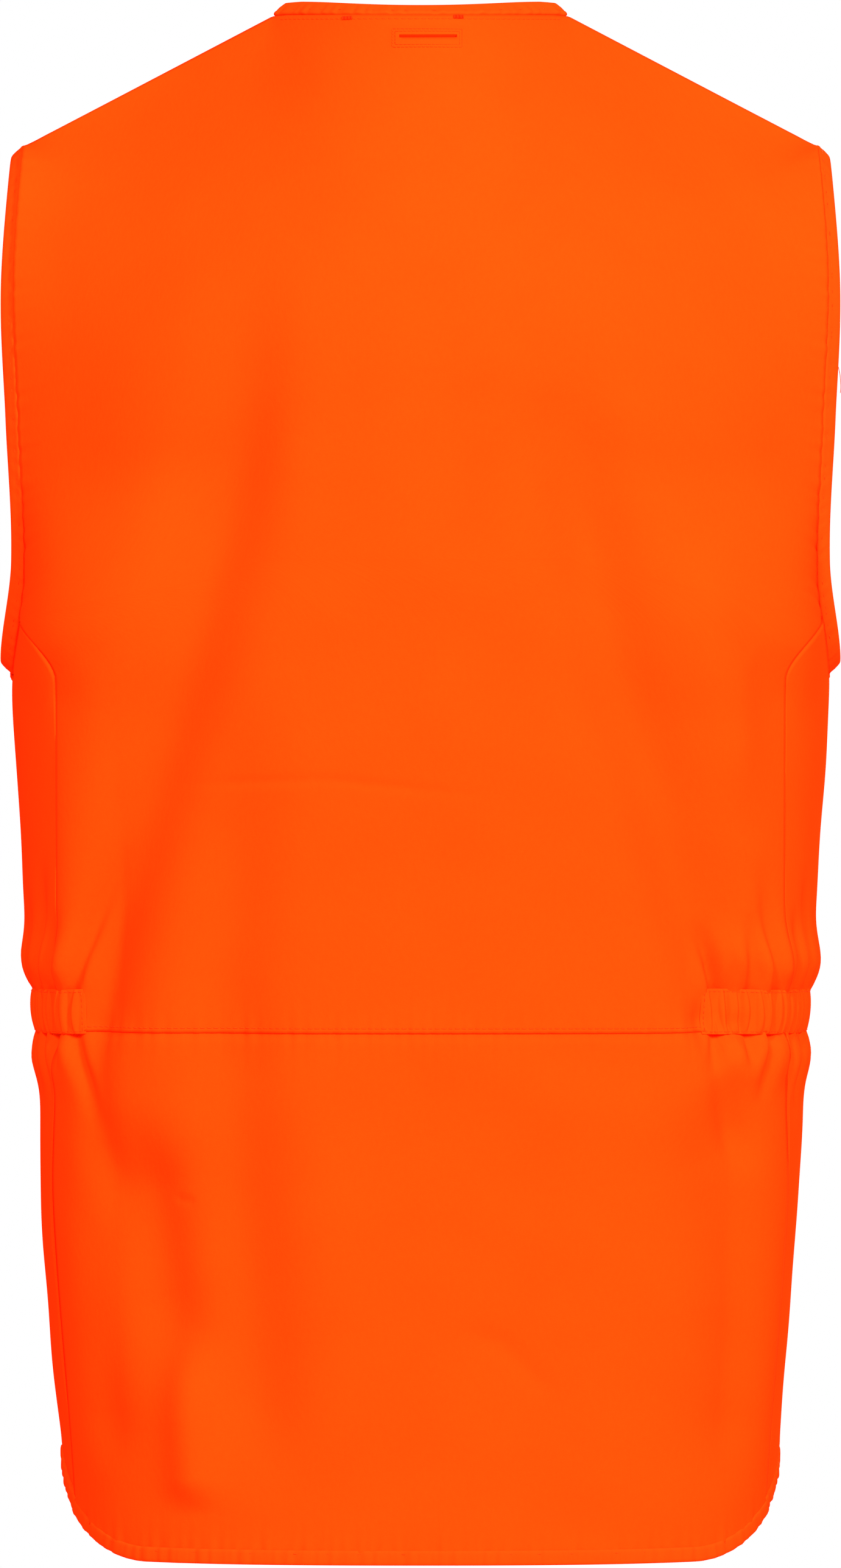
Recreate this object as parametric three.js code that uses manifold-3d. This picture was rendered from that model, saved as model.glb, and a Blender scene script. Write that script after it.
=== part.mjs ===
// A blaze orange field vest: sleeveless, zipped up the centre front, with a deep game pocket across
// the back below the waist. Millimetres. +Z is up, the back faces -Y and the wearer's right is +X.
// The origin is midway between the two high shoulder points, on the line that joins them.

import * as THREE from "three";
import { mergeVertices } from "three/addons/utils/BufferGeometryUtils.js";
import Module from "manifold-3d";

// ---- cloth and seams ----
const cloth = 2; // a quilted shell and its lining, pressed flat
const thinCloth = 0.9; // one layer, as in a facing or a tape
const gap = 0.4; // clearance between two pieces that are sewn together
const laidGap = 1; // clearance under a piece that is laid on the outside of another
const liningGap = 1.8; // clearance behind the shell, where its curve is tightest
const bindingThickness = 3;
const armholeBindingWidth = 9.5;
const neckBindingWidth = 10;
const hemBindingHeight = 7.5;

// ---- shoulders and neck ----
const neckHalf = 74; // from the centre to a high shoulder point
const shoulderHalf = 198; // from the centre to the shoulder seam's outer end
const shoulderSlope = 0.525; // how far the shoulder seam falls for each unit outwards
const backNeckDepth = 50; // how far the middle of the back neck sits behind the shoulder seams
const backNeckDrop = 3;
const frontNeckDrop = 222; // from the high shoulder points down to the top of the zip
const panelTopDrop = 0.6; // a panel's top edge, below the shoulder line
const ridgeHalf = 1.9; // from the shoulder seam's middle to a panel's top edge
const neckSeamGap = 1.5;

// ---- levels ----
const armholeTop = -(shoulderHalf - neckHalf) * shoulderSlope;
const armholeDepth = 265;
const armholeBottom = armholeTop - armholeDepth;
const sidePanelTop = armholeBottom - 8;
const sideSeamTop = armholeBottom + 1;
const waistLevel = -507.6;
const backHem = -768;
const frontHem = -742;
const sideHem = -723;
const hemCornerStart = 135; // half-width at which the hem starts to rise to the side
const hemCornerWidth = 44;

// ---- girth ----
const chestHalf = 203.5;
const waistHalf = 191.5;
const hemHalf = 179;
const backDepthChest = 135;
const backDepthWaist = 127;
const backDepthHem = 132;
const frontDepthTop = 136; // centre front line, at the top of the zip
const frontDepthBottom = 128; // centre front line, at the hem
const roundness = 2.6; // exponent of the oval cross-section
const frontFlattening = 0.32; // taken off that exponent at the middle of the front
const backSlope = 190; // drop over which the back reaches its full depth
const frontSlope = 220;
const armholeBackDepth = 52; // how far behind the shoulder line the armhole's back edge runs
const armholeFrontDepth = 62;
const armholeFrontCut = 14; // how much narrower the front is than the back, between the armholes

// ---- seams between the panels ----
const sideSeamHalf = 180;
const lowSideSeamShare = 0.965; // the game pocket's side seam, as a share of the half-width
const sideSeamRunOut = 90; // below the waist, the length over which that seam moves out
const underarmShare = 0.3; // of the side panel's width, from its back seam to the front's
const foldGap = 1.1;
const foldTopX = 104; // the line each front folds open on, at the top of the zip
const foldBottomX = 150; // the same line at the hem
const neckSplit = -100; // level at which the folding front leaves the neckline

// ---- waist elastic ----
const casingHeight = 22;
const casingMiddle = -497.5;
const casingInnerLeft = 169;
const casingInnerRight = 144;
const casingLift = 3.9;
const casingWall = 1;
const elasticHeight = 11;
const elasticThickness = 1.2;
const casingFrontX = 136;

// ---- game pocket ----
const linerHalf = 150;
const linerGap = 3.5;
const linerTop = waistLevel - 14;
const linerBottom = backHem + 24;

// ---- back neck trim ----
const slotCentre = 3.4;
const slotPatchWidth = 36;
const slotPatchTop = -9.9;
const slotPatchHeight = 11;
const slotWidth = 29;
const slotHeight = 1.6;
const slotLevel = -15;
const loopLeft = -36.6;
const loopRight = 18.9;
const loopHeight = 6;
const loopTop = -3;
const loopReach = 16;
const tackWidth = 6;
const tackHeight = 2.4;
const tackThickness = 1.2;
const labelWidth = 26;
const labelHeight = 32;
const labelTop = -30;

// ---- zip ----
const teethGap = 1.6; // between the two rows
const teethWidth = 2.4;
const teethThickness = 3.2;
const teethInset = 1.2; // from the cloth's outer face to the front of the teeth
const teethTop = -227;
const teethBottom = -726;
const tapeWidth = 12.5;
const tapeEdge = 3.5; // from the centre line to the tape's edge
const panelEdge = 6; // from the centre line to the front panel's edge
const facingEdge = 8;
const facingWidth = 36;
const facingInset = 3.9;
const stopHeight = 3;
const zipEndHeight = 9;
const runClearance = 0.4; // round the teeth, inside the slider
const sliderHalf = 5;
const sliderHeight = 14;
const sliderPlate = 1.7;
const sliderWeb = 1;
const sliderDrop = 3; // from the top of the teeth to the top of the slider
const earThickness = 1;
const earHeight = 4;
const earSpread = 4.6; // between the two ears that hold the pull's bar
const barRadius = 0.8;
const pullLength = 26;
const pullWidth = 3.8;
const pullThickness = 1.4;
const eyeRadius = 2;
const eyeHole = 1.2;

// ---- pockets: inner and outer edge from the centre, hinge level, height and depth ----
const lowerPocket = { inner: 18, outer: 120, top: -566, height: 136, depth: 14, flapDrop: 46 };
const chestPocket = { inner: 26, outer: 88, top: -268, height: 92, depth: 10, flapDrop: 34 };
const flapOverhang = 3; // beyond the pocket, at each side
const flapClearance = 3; // between the pocket's face and the flap
const mouthDrop = 9; // from the flap's fold line down to the pocket's mouth
const rimWidth = 11; // of the pocket's sloping side
const snapRadius = 7.5;
const snapHeight = 1.8;
const studRadius = 5;
const studHeight = 1.9;
const snapFromEdge = 14;

const colours = {
  shell: 0xff5a11,
  lining: 0xe04a0c,
  binding: 0xff520a,
  elastic: 0x2b2b2b,
  tape: 0xe9500f,
  teeth: 0x202020,
  metal: 0x8f8f8a,
  label: 0xe8e6e0,
};

const wasm = await Module();
wasm.setup();

const vest = new THREE.Group();
const vec = (x, y, z) => new THREE.Vector3(x, y, z);
const { lerp, clamp } = THREE.MathUtils;
const smooth = (from, to, value) => THREE.MathUtils.smoothstep((value - from) / (to - from), 0, 1);

// ---- the body that every panel follows ----

// The value at level z on a smooth line through [level, value] points, listed from the top down.
function along(points, z) {
  const last = points.length - 1;
  if (z >= points[0][0]) return points[0][1];
  if (z <= points[last][0]) return points[last][1];
  const i = points.findIndex(([level]) => z >= level) - 1;
  const slope = (j) => {
    const above = points[Math.max(j - 1, 0)];
    const below = points[Math.min(j + 1, last)];
    return (below[1] - above[1]) / (below[0] - above[0]);
  };
  const step = points[i + 1][0] - points[i][0];
  const t = (z - points[i][0]) / step;
  const rise = points[i + 1][1] - points[i][1];
  const start = slope(i) * step;
  const end = slope(i + 1) * step;
  return points[i][1] + t * start + t * t * (3 * rise - 2 * start - end) + t ** 3 * (start + end - 2 * rise);
}

const widths = [
  [armholeTop, shoulderHalf],
  [armholeTop - 70, shoulderHalf + 4],
  [armholeTop - 140, shoulderHalf + 1.5],
  [armholeTop - 215, shoulderHalf - 1],
  [armholeBottom - 5, chestHalf],
  [-435, 198.5],
  [waistLevel, waistHalf],
  [-602, 188.6],
  [sideHem, hemHalf],
  [backHem, hemHalf - 2],
];
const backDepths = [
  [armholeTop, backDepthChest],
  [armholeBottom, backDepthChest],
  [waistLevel, backDepthWaist],
  [backHem, backDepthHem],
];
const halfWidth = (z) => along(widths, z);
const backDepth = (z) => along(backDepths, z);
const frontDepth = (z) => {
  const t = (-frontNeckDrop - z) / (-frontNeckDrop - frontHem);
  return lerp(frontDepthTop, frontDepthBottom, t);
};
const frontRoundness = (z) => {
  const t = clamp((-frontNeckDrop - z) / (-frontNeckDrop - sideHem), 0, 1);
  return roundness - frontFlattening * Math.sin(Math.PI * t);
};
const shoulderLine = (x) => -shoulderSlope * Math.max(Math.abs(x) - neckHalf, 0);

// How far an armhole edge stands from the shoulder plane at level z: nothing at its top and bottom.
function armholeEdge(z, depth) {
  const t = clamp((armholeTop - z) / armholeDepth, 0, 1);
  return depth * (1 - Math.abs(2 * t - 1) ** 2.4) ** (1 / 2.4);
}
const armholeShare = (z) => Math.sin(Math.PI * clamp((armholeTop - z) / armholeDepth, 0, 1));
const backEdgeX = (z) => halfWidth(z);
const frontEdgeX = (z) => halfWidth(z) - armholeFrontCut * armholeShare(z);
const flare = (z, exponent) => 1 / lerp(1, exponent, smooth(armholeTop - 175, armholeBottom, z));
const closing = (drop, reach) => 1 - (1 - clamp(drop / reach, 0, 1)) ** 2;

function backPoint(x, z) {
  const share = Math.min(Math.abs(x) / backEdgeX(z), 1);
  const shape = (1 - share ** roundness) ** flare(z, roundness);
  const neck = Math.min(Math.abs(x) / neckHalf, 1);
  const top = backNeckDepth * (1 - neck * neck);
  const closed = closing(shoulderLine(x) - z, backSlope);
  const depth = lerp(top, backDepth(z), closed);
  return vec(x, -lerp(armholeEdge(z, armholeBackDepth), depth, shape) - ridgeHalf * (1 - closed), z);
}

function frontPoint(x, z) {
  const share = Math.min(Math.abs(x) / frontEdgeX(z), 1);
  const exponent = frontRoundness(z);
  const shape = (1 - share ** exponent) ** flare(z, exponent);
  const closed = closing(shoulderLine(x) - z, frontSlope);
  const depth = frontDepth(z) * closed;
  return vec(x, lerp(armholeEdge(z, armholeFrontDepth), depth, shape) + ridgeHalf * (1 - closed), z);
}

// A point of the closed ring below the armholes: angle 0 is the centre back, a quarter turn the side.
function ringPoint(angle, z) {
  const across = Math.sin(angle);
  const back = -Math.cos(angle);
  const exponent = back < 0 ? roundness : frontRoundness(z);
  const depth = back < 0 ? backDepth(z) : frontDepth(z);
  const sum = (Math.abs(across) / halfWidth(z)) ** exponent + (Math.abs(back) / depth) ** exponent;
  const radius = sum ** (-1 / exponent);
  return vec(radius * across, radius * back, z);
}
const ringAngle = (point) => Math.atan2(point.x, -point.y);

const neckline = (z) => lerp(neckHalf, panelEdge, clamp(-z / frontNeckDrop, 0, 1));
const foldLine = (z) => lerp(foldTopX, foldBottomX, clamp((-frontNeckDrop - z) / (-frontNeckDrop - frontHem), 0, 1));
const hemLevel = (x, middle) => {
  const t = clamp((Math.abs(x) - hemCornerStart) / hemCornerWidth, 0, 1);
  return middle + (sideHem - middle) * (1 - Math.sqrt(1 - t * t));
};
const sideSeamX = (z) => {
  const low = lowSideSeamShare * halfWidth(z);
  return lerp(sideSeamHalf, low, smooth(waistLevel, waistLevel - sideSeamRunOut, z));
};

// ---- building tools ----

function bare(geometry) {
  geometry.deleteAttribute("normal");
  geometry.deleteAttribute("uv");
  return mergeVertices(geometry, 1e-4);
}

// A piece of cloth: place(u, v) gives its outer face for u and v from 0 to 1, and lift(u, v) raises it.
function sheet(place, thickness, columns, rows, lift = () => 0) {
  const geometry = bare(new THREE.BoxGeometry(1, 1, 1, columns, rows, 1));
  const position = geometry.getAttribute("position");
  const step = 1e-3;
  for (let i = 0; i < position.count; i++) {
    const u = position.getX(i) + 0.5;
    const v = 0.5 - position.getY(i);
    const nearU = u > 0.5 ? -step : step;
    const nearV = v > 0.5 ? -step : step;
    const point = place(u, v);
    const alongU = place(u + nearU, v).sub(point).multiplyScalar(Math.sign(nearU));
    const alongV = place(u, v + nearV).sub(point).multiplyScalar(-Math.sign(nearV));
    const normal = alongU.cross(alongV).normalize();
    point.addScaledVector(normal, lift(u, v) + (position.getZ(i) - 0.5) * thickness);
    position.setXYZ(i, point.x, point.y, point.z);
  }
  return geometry;
}

function mirrored(geometry) {
  const copy = geometry.clone().scale(-1, 1, 1);
  const index = copy.getIndex();
  for (let i = 0; i < index.count; i += 3) {
    const second = index.getX(i + 1);
    index.setX(i + 1, index.getX(i + 2));
    index.setX(i + 2, second);
  }
  return copy;
}

function solid(geometry) {
  const merged = bare(geometry.clone());
  return new wasm.Manifold(
    new wasm.Mesh({
      numProp: 3,
      vertProperties: new Float32Array(merged.getAttribute("position").array),
      triVerts: new Uint32Array(merged.getIndex().array),
    }),
  );
}

function fromSolid(body) {
  const mesh = body.getMesh();
  const geometry = new THREE.BufferGeometry();
  geometry.setAttribute("position", new THREE.BufferAttribute(mesh.vertProperties, 3));
  geometry.setIndex(new THREE.BufferAttribute(mesh.triVerts, 1));
  return geometry;
}

// A box given by its lowest and highest corners.
function block(low, high) {
  const size = high.clone().sub(low);
  const middle = high.clone().add(low).multiplyScalar(0.5);
  return new THREE.BoxGeometry(size.x, size.y, size.z).translate(middle.x, middle.y, middle.z);
}

function add(name, geometry, colour, parent = vest, roughness = 0.9, metalness = 0) {
  const mesh = new THREE.Mesh(geometry, new THREE.MeshStandardMaterial({ color: colour, roughness, metalness }));
  mesh.name = name;
  parent.add(mesh);
  return mesh;
}

// One piece on each side. The right-hand shape is given, and the left is its mirror image.
function addPair(name, geometry, colour, parent = vest) {
  add(`right_${name}`, geometry, colour, parent);
  add(`left_${name}`, mirrored(geometry), colour, parent);
}

// ---- back ----

function backTopLevel(x) {
  const neck = Math.min(Math.abs(x) / neckHalf, 1);
  return shoulderLine(x) - Math.max(backNeckDrop * (1 - neck * neck), panelTopDrop);
}

// The panel's upper rows end at the armholes and its lower rows at the side seams.
const armholeRows = 10;
const waistRows = 6;
function upperBackPlace(u, v) {
  const side = 2 * u - 1;
  const row = v * (armholeRows + waistRows);
  const above = 1 - (1 - Math.min(row / armholeRows, 1)) ** 1.5;
  const upper = lerp(backTopLevel(side * shoulderHalf), sideSeamTop, above);
  const lower = lerp(sideSeamTop, waistLevel + gap / 2, (row - armholeRows) / waistRows);
  const z = row < armholeRows ? upper : lower;
  const pastArmhole = clamp(row - armholeRows + 1, 0, 1);
  return backPoint(side * lerp(backEdgeX(z) - gap, sideSeamHalf - gap / 2, pastArmhole), z);
}

function addUpperBack() {
  const panel = solid(sheet(upperBackPlace, cloth, 20, armholeRows + waistRows));
  const slot = block(
    vec(slotCentre - slotWidth / 2, -backDepthChest, slotLevel - slotHeight / 2),
    vec(slotCentre + slotWidth / 2, 0, slotLevel + slotHeight / 2),
  );
  const slotSolid = solid(slot);
  add("back_upper_panel", fromSolid(panel.subtract(slotSolid)), colours.shell);
  const patch = (u, v) =>
    backPoint(slotCentre + (u - 0.5) * slotPatchWidth, slotPatchTop - v * slotPatchHeight);
  const facing = solid(sheet(patch, thinCloth, 4, 3, () => -cloth - liningGap));
  add("neck_slot_facing", fromSolid(facing.subtract(slotSolid)), colours.lining);
}

function lowerBackPlace(u, v, topTrim, bottomTrim) {
  const side = 2 * u - 1;
  const hem = hemLevel(side * sideSeamX(sideHem), backHem);
  const z = lerp(waistLevel - topTrim, hem + bottomTrim, v);
  return backPoint(side * (sideSeamX(z) - gap / 2), z);
}

function addLowerBack() {
  const pocket = (u, v) => lowerBackPlace(u, v, gap / 2, hemBindingHeight + gap);
  add("back_lower_panel", sheet(pocket, cloth, 16, 7), colours.shell);
  const liner = (u, v) => backPoint((2 * u - 1) * linerHalf, lerp(linerTop, linerBottom, v));
  add("game_pocket_liner", sheet(liner, thinCloth, 10, 4, () => -cloth - linerGap), colours.lining);
  const hemTop = (u) => hemLevel((2 * u - 1) * sideSeamX(sideHem), backHem);
  const hem = (u, v) => {
    const z = hemTop(u) + hemBindingHeight * (1 - v);
    return backPoint((2 * u - 1) * (sideSeamX(z) - gap / 2), z);
  };
  add("back_hem_binding", sheet(hem, bindingThickness, 16, 1, () => 0.5), colours.binding);
}

// ---- sides ----

function sideAngles(z) {
  const back = ringAngle(backPoint(sideSeamX(z) + gap / 2, z));
  const front = ringAngle(frontPoint(foldLine(z) + foldGap, z));
  return [back, front];
}

function sideHemLevel(u) {
  const [back, front] = sideAngles(sideHem);
  const point = ringPoint(lerp(back, front, u), sideHem);
  return hemLevel(point.x, point.y < 0 ? backHem : frontHem);
}

function sidePlace(u, z) {
  const [back, front] = sideAngles(z);
  return ringPoint(lerp(back, front, u), z);
}

function addSides() {
  const panel = (u, v) => {
    const bottom = sideHemLevel(u) + hemBindingHeight + gap;
    const top = lerp(armholeBottom - 2 * gap, sidePanelTop - gap / 2, smooth(underarmShare - 0.1, underarmShare, u));
    return sidePlace(u, lerp(top, bottom, v));
  };
  addPair("side_panel", sheet(panel, cloth, 8, 12), colours.shell);
  const hem = (u, v) => sidePlace(u, sideHemLevel(u) + hemBindingHeight * (1 - v));
  addPair("side_hem_binding", sheet(hem, bindingThickness, 8, 1, () => 0.5), colours.binding);
}

// ---- front shoulders: the part of each front that stays put when it folds open ----

function frontShoulderPlace(u, v) {
  const inner = lerp(-panelTopDrop, sidePanelTop + gap / 2, v);
  const outer = lerp(armholeTop - panelTopDrop, sidePanelTop + gap / 2, v);
  const towardFold = clamp((neckSplit - inner) / (neckSplit + frontNeckDrop), 0, 1);
  const innerX = inner > neckSplit ? neckline(inner) : lerp(neckline(neckSplit), foldLine(inner), towardFold);
  const x = lerp(frontEdgeX(outer) - gap, innerX + foldGap, u);
  return frontPoint(x, lerp(outer, inner, u));
}

function addFrontShoulders() {
  addPair("front_shoulder", sheet(frontShoulderPlace, cloth, 8, 12), colours.shell);
}

// ---- bindings round the armholes and the neck ----

function armholeSeam(turn) {
  const level = lerp(armholeTop, armholeBottom, 0.5 - 0.5 * Math.cos(turn));
  const back = turn < Math.PI;
  const depth = back ? armholeBackDepth : armholeFrontDepth;
  const x = back ? backEdgeX(level) : frontEdgeX(level);
  const share = Math.abs(Math.sin(turn)) ** (2 / 2.4);
  return vec(x, (back ? -1 : 1) * depth * share, level);
}

function addArmholeBindings() {
  const centre = vec(shoulderHalf, 0, (armholeTop + armholeBottom) / 2);
  const place = (u, v) => {
    const turn = lerp(Math.PI + 0.004, 3 * Math.PI - 0.004, u) % (2 * Math.PI);
    const seam = armholeSeam(turn);
    const inward = centre.clone().sub(seam).setX(0).normalize();
    const direction = inward.add(vec(1, 0, 0)).normalize();
    return seam.addScaledVector(direction, gap + v * armholeBindingWidth);
  };
  addPair("armhole_binding", sheet(place, bindingThickness, 44, 1, () => 0.5), colours.binding);
}

function addNeckBindings() {
  const band = (u, v) => {
    const side = lerp(-0.985, 0.985, u);
    const base = backPoint(side * neckHalf, backTopLevel(side * neckHalf));
    const rise = vec(-0.72 * side, 0.85 * (1 - side * side), 0.5 + 0.15 * side * side).normalize();
    return base.addScaledVector(rise, neckSeamGap + (1 - v) * (neckBindingWidth - neckSeamGap));
  };
  add("back_neck_binding", sheet(band, bindingThickness, 16, 1, () => 0.5), colours.binding);
  const run = Math.hypot(neckHalf - panelEdge, frontNeckDrop);
  const outwards = vec(-frontNeckDrop / run, 0, (neckHalf - panelEdge) / run);
  const stripe = (top, bottom) => (u, v) => {
    const level = lerp(top, bottom, v);
    const offset = gap + u * (neckBindingWidth - gap);
    return frontPoint(neckline(level) + outwards.x * offset, level + outwards.z * offset);
  };
  const fixedPart = sheet(stripe(-neckBindingWidth * 0.5, neckSplit + gap), bindingThickness, 1, 6, () => 0.5);
  addPair("neck_binding", fixedPart, colours.binding);
  const lowest = -frontNeckDrop + 2 * neckBindingWidth;
  const foldingPart = sheet(stripe(neckSplit - gap, lowest), bindingThickness, 1, 6, () => 0.5);
  addPair("front_neck_binding", foldingPart, colours.binding);
}

// ---- waist elastic in its casings ----

function casingPlace(inner, height) {
  const start = ringAngle(backPoint(inner, casingMiddle));
  const end = ringAngle(frontPoint(casingFrontX, casingMiddle));
  return (u, v) => ringPoint(lerp(start, end, u), casingMiddle + height * (0.5 - v));
}

function addWaistElastic(side, inner) {
  const rim = casingWall + laidGap;
  const puff = (u, v) => {
    const fromEdge = casingHeight * Math.min(v, 1 - v);
    return lerp(rim, casingLift, Math.min(fromEdge / ((casingHeight - elasticHeight) / 2), 1));
  };
  const finish = side === "left" ? mirrored : (geometry) => geometry;
  const casing = sheet(casingPlace(inner, casingHeight), casingWall, 16, 8, puff);
  add(`${side}_elastic_casing`, finish(casing), colours.shell);
  const band = casingPlace(inner + 3, elasticHeight);
  const elastic = sheet(band, elasticThickness, 16, 1, () => laidGap + elasticThickness);
  add(`${side}_waist_elastic`, finish(elastic), colours.elastic);
}

// ---- back neck trim ----

function addNeckTrim() {
  const insideOf = (x, level) => backPoint(x, level).y + cloth + 2 * gap;
  const loop = (u, v) => {
    const x = lerp(loopLeft, loopRight, u);
    const level = loopTop - v * loopHeight;
    const y = insideOf(x, loopTop) + cloth + loopReach * Math.sin(Math.PI * u) ** 0.8;
    return vec(x, y, level);
  };
  add("hanger_loop", sheet(loop, thinCloth, 10, 1), colours.lining);
  for (const [name, x] of [["left", loopLeft], ["right", loopRight]]) {
    const tack = (u, v) => backPoint(x + (u - 0.5) * tackWidth, loopTop - gap - v * tackHeight);
    add(`hanger_tack_${name}`, sheet(tack, tackThickness, 1, 1, () => gap + tackThickness), colours.binding);
  }
  const label = (u, v) => backPoint(slotCentre + (u - 0.5) * labelWidth, labelTop - v * labelHeight);
  add("size_label", sheet(label, thinCloth, 2, 2, () => -cloth - liningGap), colours.label);
}

// ---- fronts ----

function frontPanelPlace(bottomTrim) {
  return (u, v) => {
    const neckShare = 0.25;
    const belowNeck = clamp((v - neckShare) / (1 - neckShare), 0, 1);
    const level = lerp(neckSplit - gap, -frontNeckDrop, Math.min(v / neckShare, 1));
    const inner = Math.max(neckline(level), panelEdge);
    const slanted = (neckSplit - level) / (neckSplit + frontNeckDrop);
    const outer = v < neckShare
      ? lerp(neckline(neckSplit) + 2 * foldGap, foldTopX, slanted) - foldGap
      : foldLine(lerp(-frontNeckDrop, frontHem, belowNeck)) - foldGap;
    const x = lerp(outer, inner, u);
    const bottom = hemLevel(x, frontHem) + bottomTrim;
    return frontPoint(x, belowNeck > 0 ? lerp(-frontNeckDrop, bottom, belowNeck) : level);
  };
}

function addFronts() {
  const panel = sheet(frontPanelPlace(hemBindingHeight + gap), cloth, 8, 16);
  addPair("front_panel", panel, colours.shell);
  const facing = (u, v) => {
    const x = lerp(facingEdge + facingWidth, facingEdge, u);
    return frontPoint(x, lerp(-frontNeckDrop - facingWidth, frontHem + 2 * hemBindingHeight, v));
  };
  addPair("front_facing", sheet(facing, thinCloth, 2, 8, () => -facingInset), colours.lining);
  const hem = (u, v) => {
    const x = lerp(foldLine(frontHem) - foldGap, panelEdge, u);
    return frontPoint(x, hemLevel(x, frontHem) + hemBindingHeight * (1 - v));
  };
  addPair("front_hem_binding", sheet(hem, bindingThickness, 8, 1, () => 0.5), colours.binding);
}

// ---- zip: its frame has Y out of the cloth and Z up along the centre front ----

const zipLean = Math.atan2(frontDepthTop - frontDepthBottom, -frontNeckDrop - frontHem);
const zip = new THREE.Group();
zip.position.set(0, frontDepthTop, -frontNeckDrop);
zip.rotation.x = zipLean * -1;
vest.add(zip);

// Levels in the zip's frame are counted from the top of the front edge.
const fromZipTop = (level) => level + frontNeckDrop;

function addZipSides() {
  const row = teethGap / 2;
  const teeth = block(
    vec(row, -teethInset - teethThickness, fromZipTop(teethBottom)),
    vec(row + teethWidth, -teethInset, fromZipTop(teethTop)),
  );
  const tape = block(
    vec(tapeEdge, -cloth - gap - thinCloth, fromZipTop(frontHem + hemBindingHeight + gap)),
    vec(tapeEdge + tapeWidth, -cloth - gap, -1),
  );
  const stop = block(
    vec(row, -teethInset - teethThickness, fromZipTop(teethTop) + gap),
    vec(row + teethWidth, -teethInset, fromZipTop(teethTop) + gap + stopHeight),
  );
  for (const side of ["right", "left"]) {
    const turned = side === "left" ? (shape) => mirrored(bare(shape)) : (shape) => shape;
    add(`${side}_zip_tape`, turned(tape), colours.tape, zip);
    add(`${side}_zip_teeth`, turned(teeth), colours.teeth, zip, 0.4);
    add(`${side}_zip_top_stop`, turned(stop), colours.metal, zip, 0.3, 0.9);
  }
  const endTop = fromZipTop(teethBottom) - gap;
  const pin = new THREE.CylinderGeometry(teethWidth / 2, teethWidth / 2, zipEndHeight, 12);
  pin.rotateX(Math.PI / 2);
  pin.translate(row + teethWidth / 2, -teethInset - teethThickness / 2, endTop - zipEndHeight / 2);
  add("zip_pin", pin, colours.metal, zip, 0.3, 0.9);
  const box = block(
    vec(-tapeEdge + gap / 2, -teethInset - teethThickness - gap, endTop - zipEndHeight),
    vec(-gap, -teethInset + gap, endTop),
  );
  add("zip_box", box, colours.metal, zip, 0.3, 0.9);
}

function addSlider() {
  const front = -teethInset + runClearance;
  const back = -teethInset - teethThickness - runClearance;
  const right = sliderWeb / 2;
  const top = fromZipTop(teethTop) - sliderDrop;
  const low = top - sliderHeight;
  const barY = front + sliderPlate + earHeight / 2 + barRadius;
  const barZ = top - sliderHeight / 2;
  const middle = -earSpread / 2;
  const plates = [
    block(vec(-sliderHalf, front, low), vec(right, front + sliderPlate, top)),
    block(vec(-sliderHalf, back - sliderPlate, low), vec(right, back, top)),
    block(vec(-right, back - sliderPlate, low), vec(right, front + sliderPlate, top)),
  ];
  const ears = [-1, 1].map((end) => {
    const x = middle + (end * (earSpread + earThickness)) / 2;
    const half = earThickness / 2;
    return block(
      vec(x - half, front + sliderPlate - gap, barZ - 2),
      vec(x + half, barY + barRadius * 1.8, barZ + 2),
    );
  });
  const bar = new THREE.CylinderGeometry(barRadius, barRadius, earSpread + earThickness, 12);
  bar.rotateZ(Math.PI / 2).translate(middle, barY, barZ);
  const pieces = [...plates, ...ears, bar].map(solid);
  const slider = pieces.reduce((body, piece) => body.add(piece));
  add("zip_slider", fromSolid(slider), colours.metal, zip, 0.3, 0.9);
  addPull(vec(middle, barY, barZ));
}

// The pull hangs from the slider's bar by an eye, with the bar along X.
function addPull(bar) {
  const outline = new THREE.Shape();
  outline.absarc(0, 0, eyeRadius, 0, 2 * Math.PI);
  outline.holes.push(new THREE.Path().absarc(0, 0, eyeHole, 0, 2 * Math.PI, true));
  const eye = new THREE.ExtrudeGeometry(outline, { depth: pullWidth, bevelEnabled: false, curveSegments: 12 });
  eye.translate(0, 0, -pullWidth / 2).rotateY(Math.PI / 2);
  const tabTop = -(eyeHole + eyeRadius) / 2;
  const tab = block(vec(-pullWidth / 2, -pullThickness / 2, -pullLength), vec(pullWidth / 2, pullThickness / 2, tabTop));
  const pull = add("zip_pull", fromSolid(solid(eye).add(solid(tab))), colours.metal, zip, 0.3, 0.9);
  pull.position.copy(bar);
}

// ---- pockets with a fold-up flap ----

// A pocket's frame: X along the flap's fold line, Y out of the cloth and Z up.
function pocketFrame(size) {
  const inner = frontPoint(size.inner - flapOverhang, size.top);
  const outer = frontPoint(size.outer + flapOverhang, size.top);
  const middle = frontPoint((size.inner + size.outer) / 2, size.top);
  const low = frontPoint((size.inner + size.outer) / 2, size.top - size.height);
  const alongFold = outer.clone().sub(inner).normalize();
  const up = middle.clone().sub(low);
  up.addScaledVector(alongFold, -up.dot(alongFold)).normalize();
  const out = up.clone().cross(alongFold);
  const chordMiddle = inner.clone().add(outer).multiplyScalar(0.5);
  const bulge = middle.clone().sub(chordMiddle).dot(out);
  const origin = chordMiddle.addScaledVector(out, bulge + gap + 0.6);
  return { origin, alongFold, out, up, width: outer.distanceTo(inner) };
}

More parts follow.
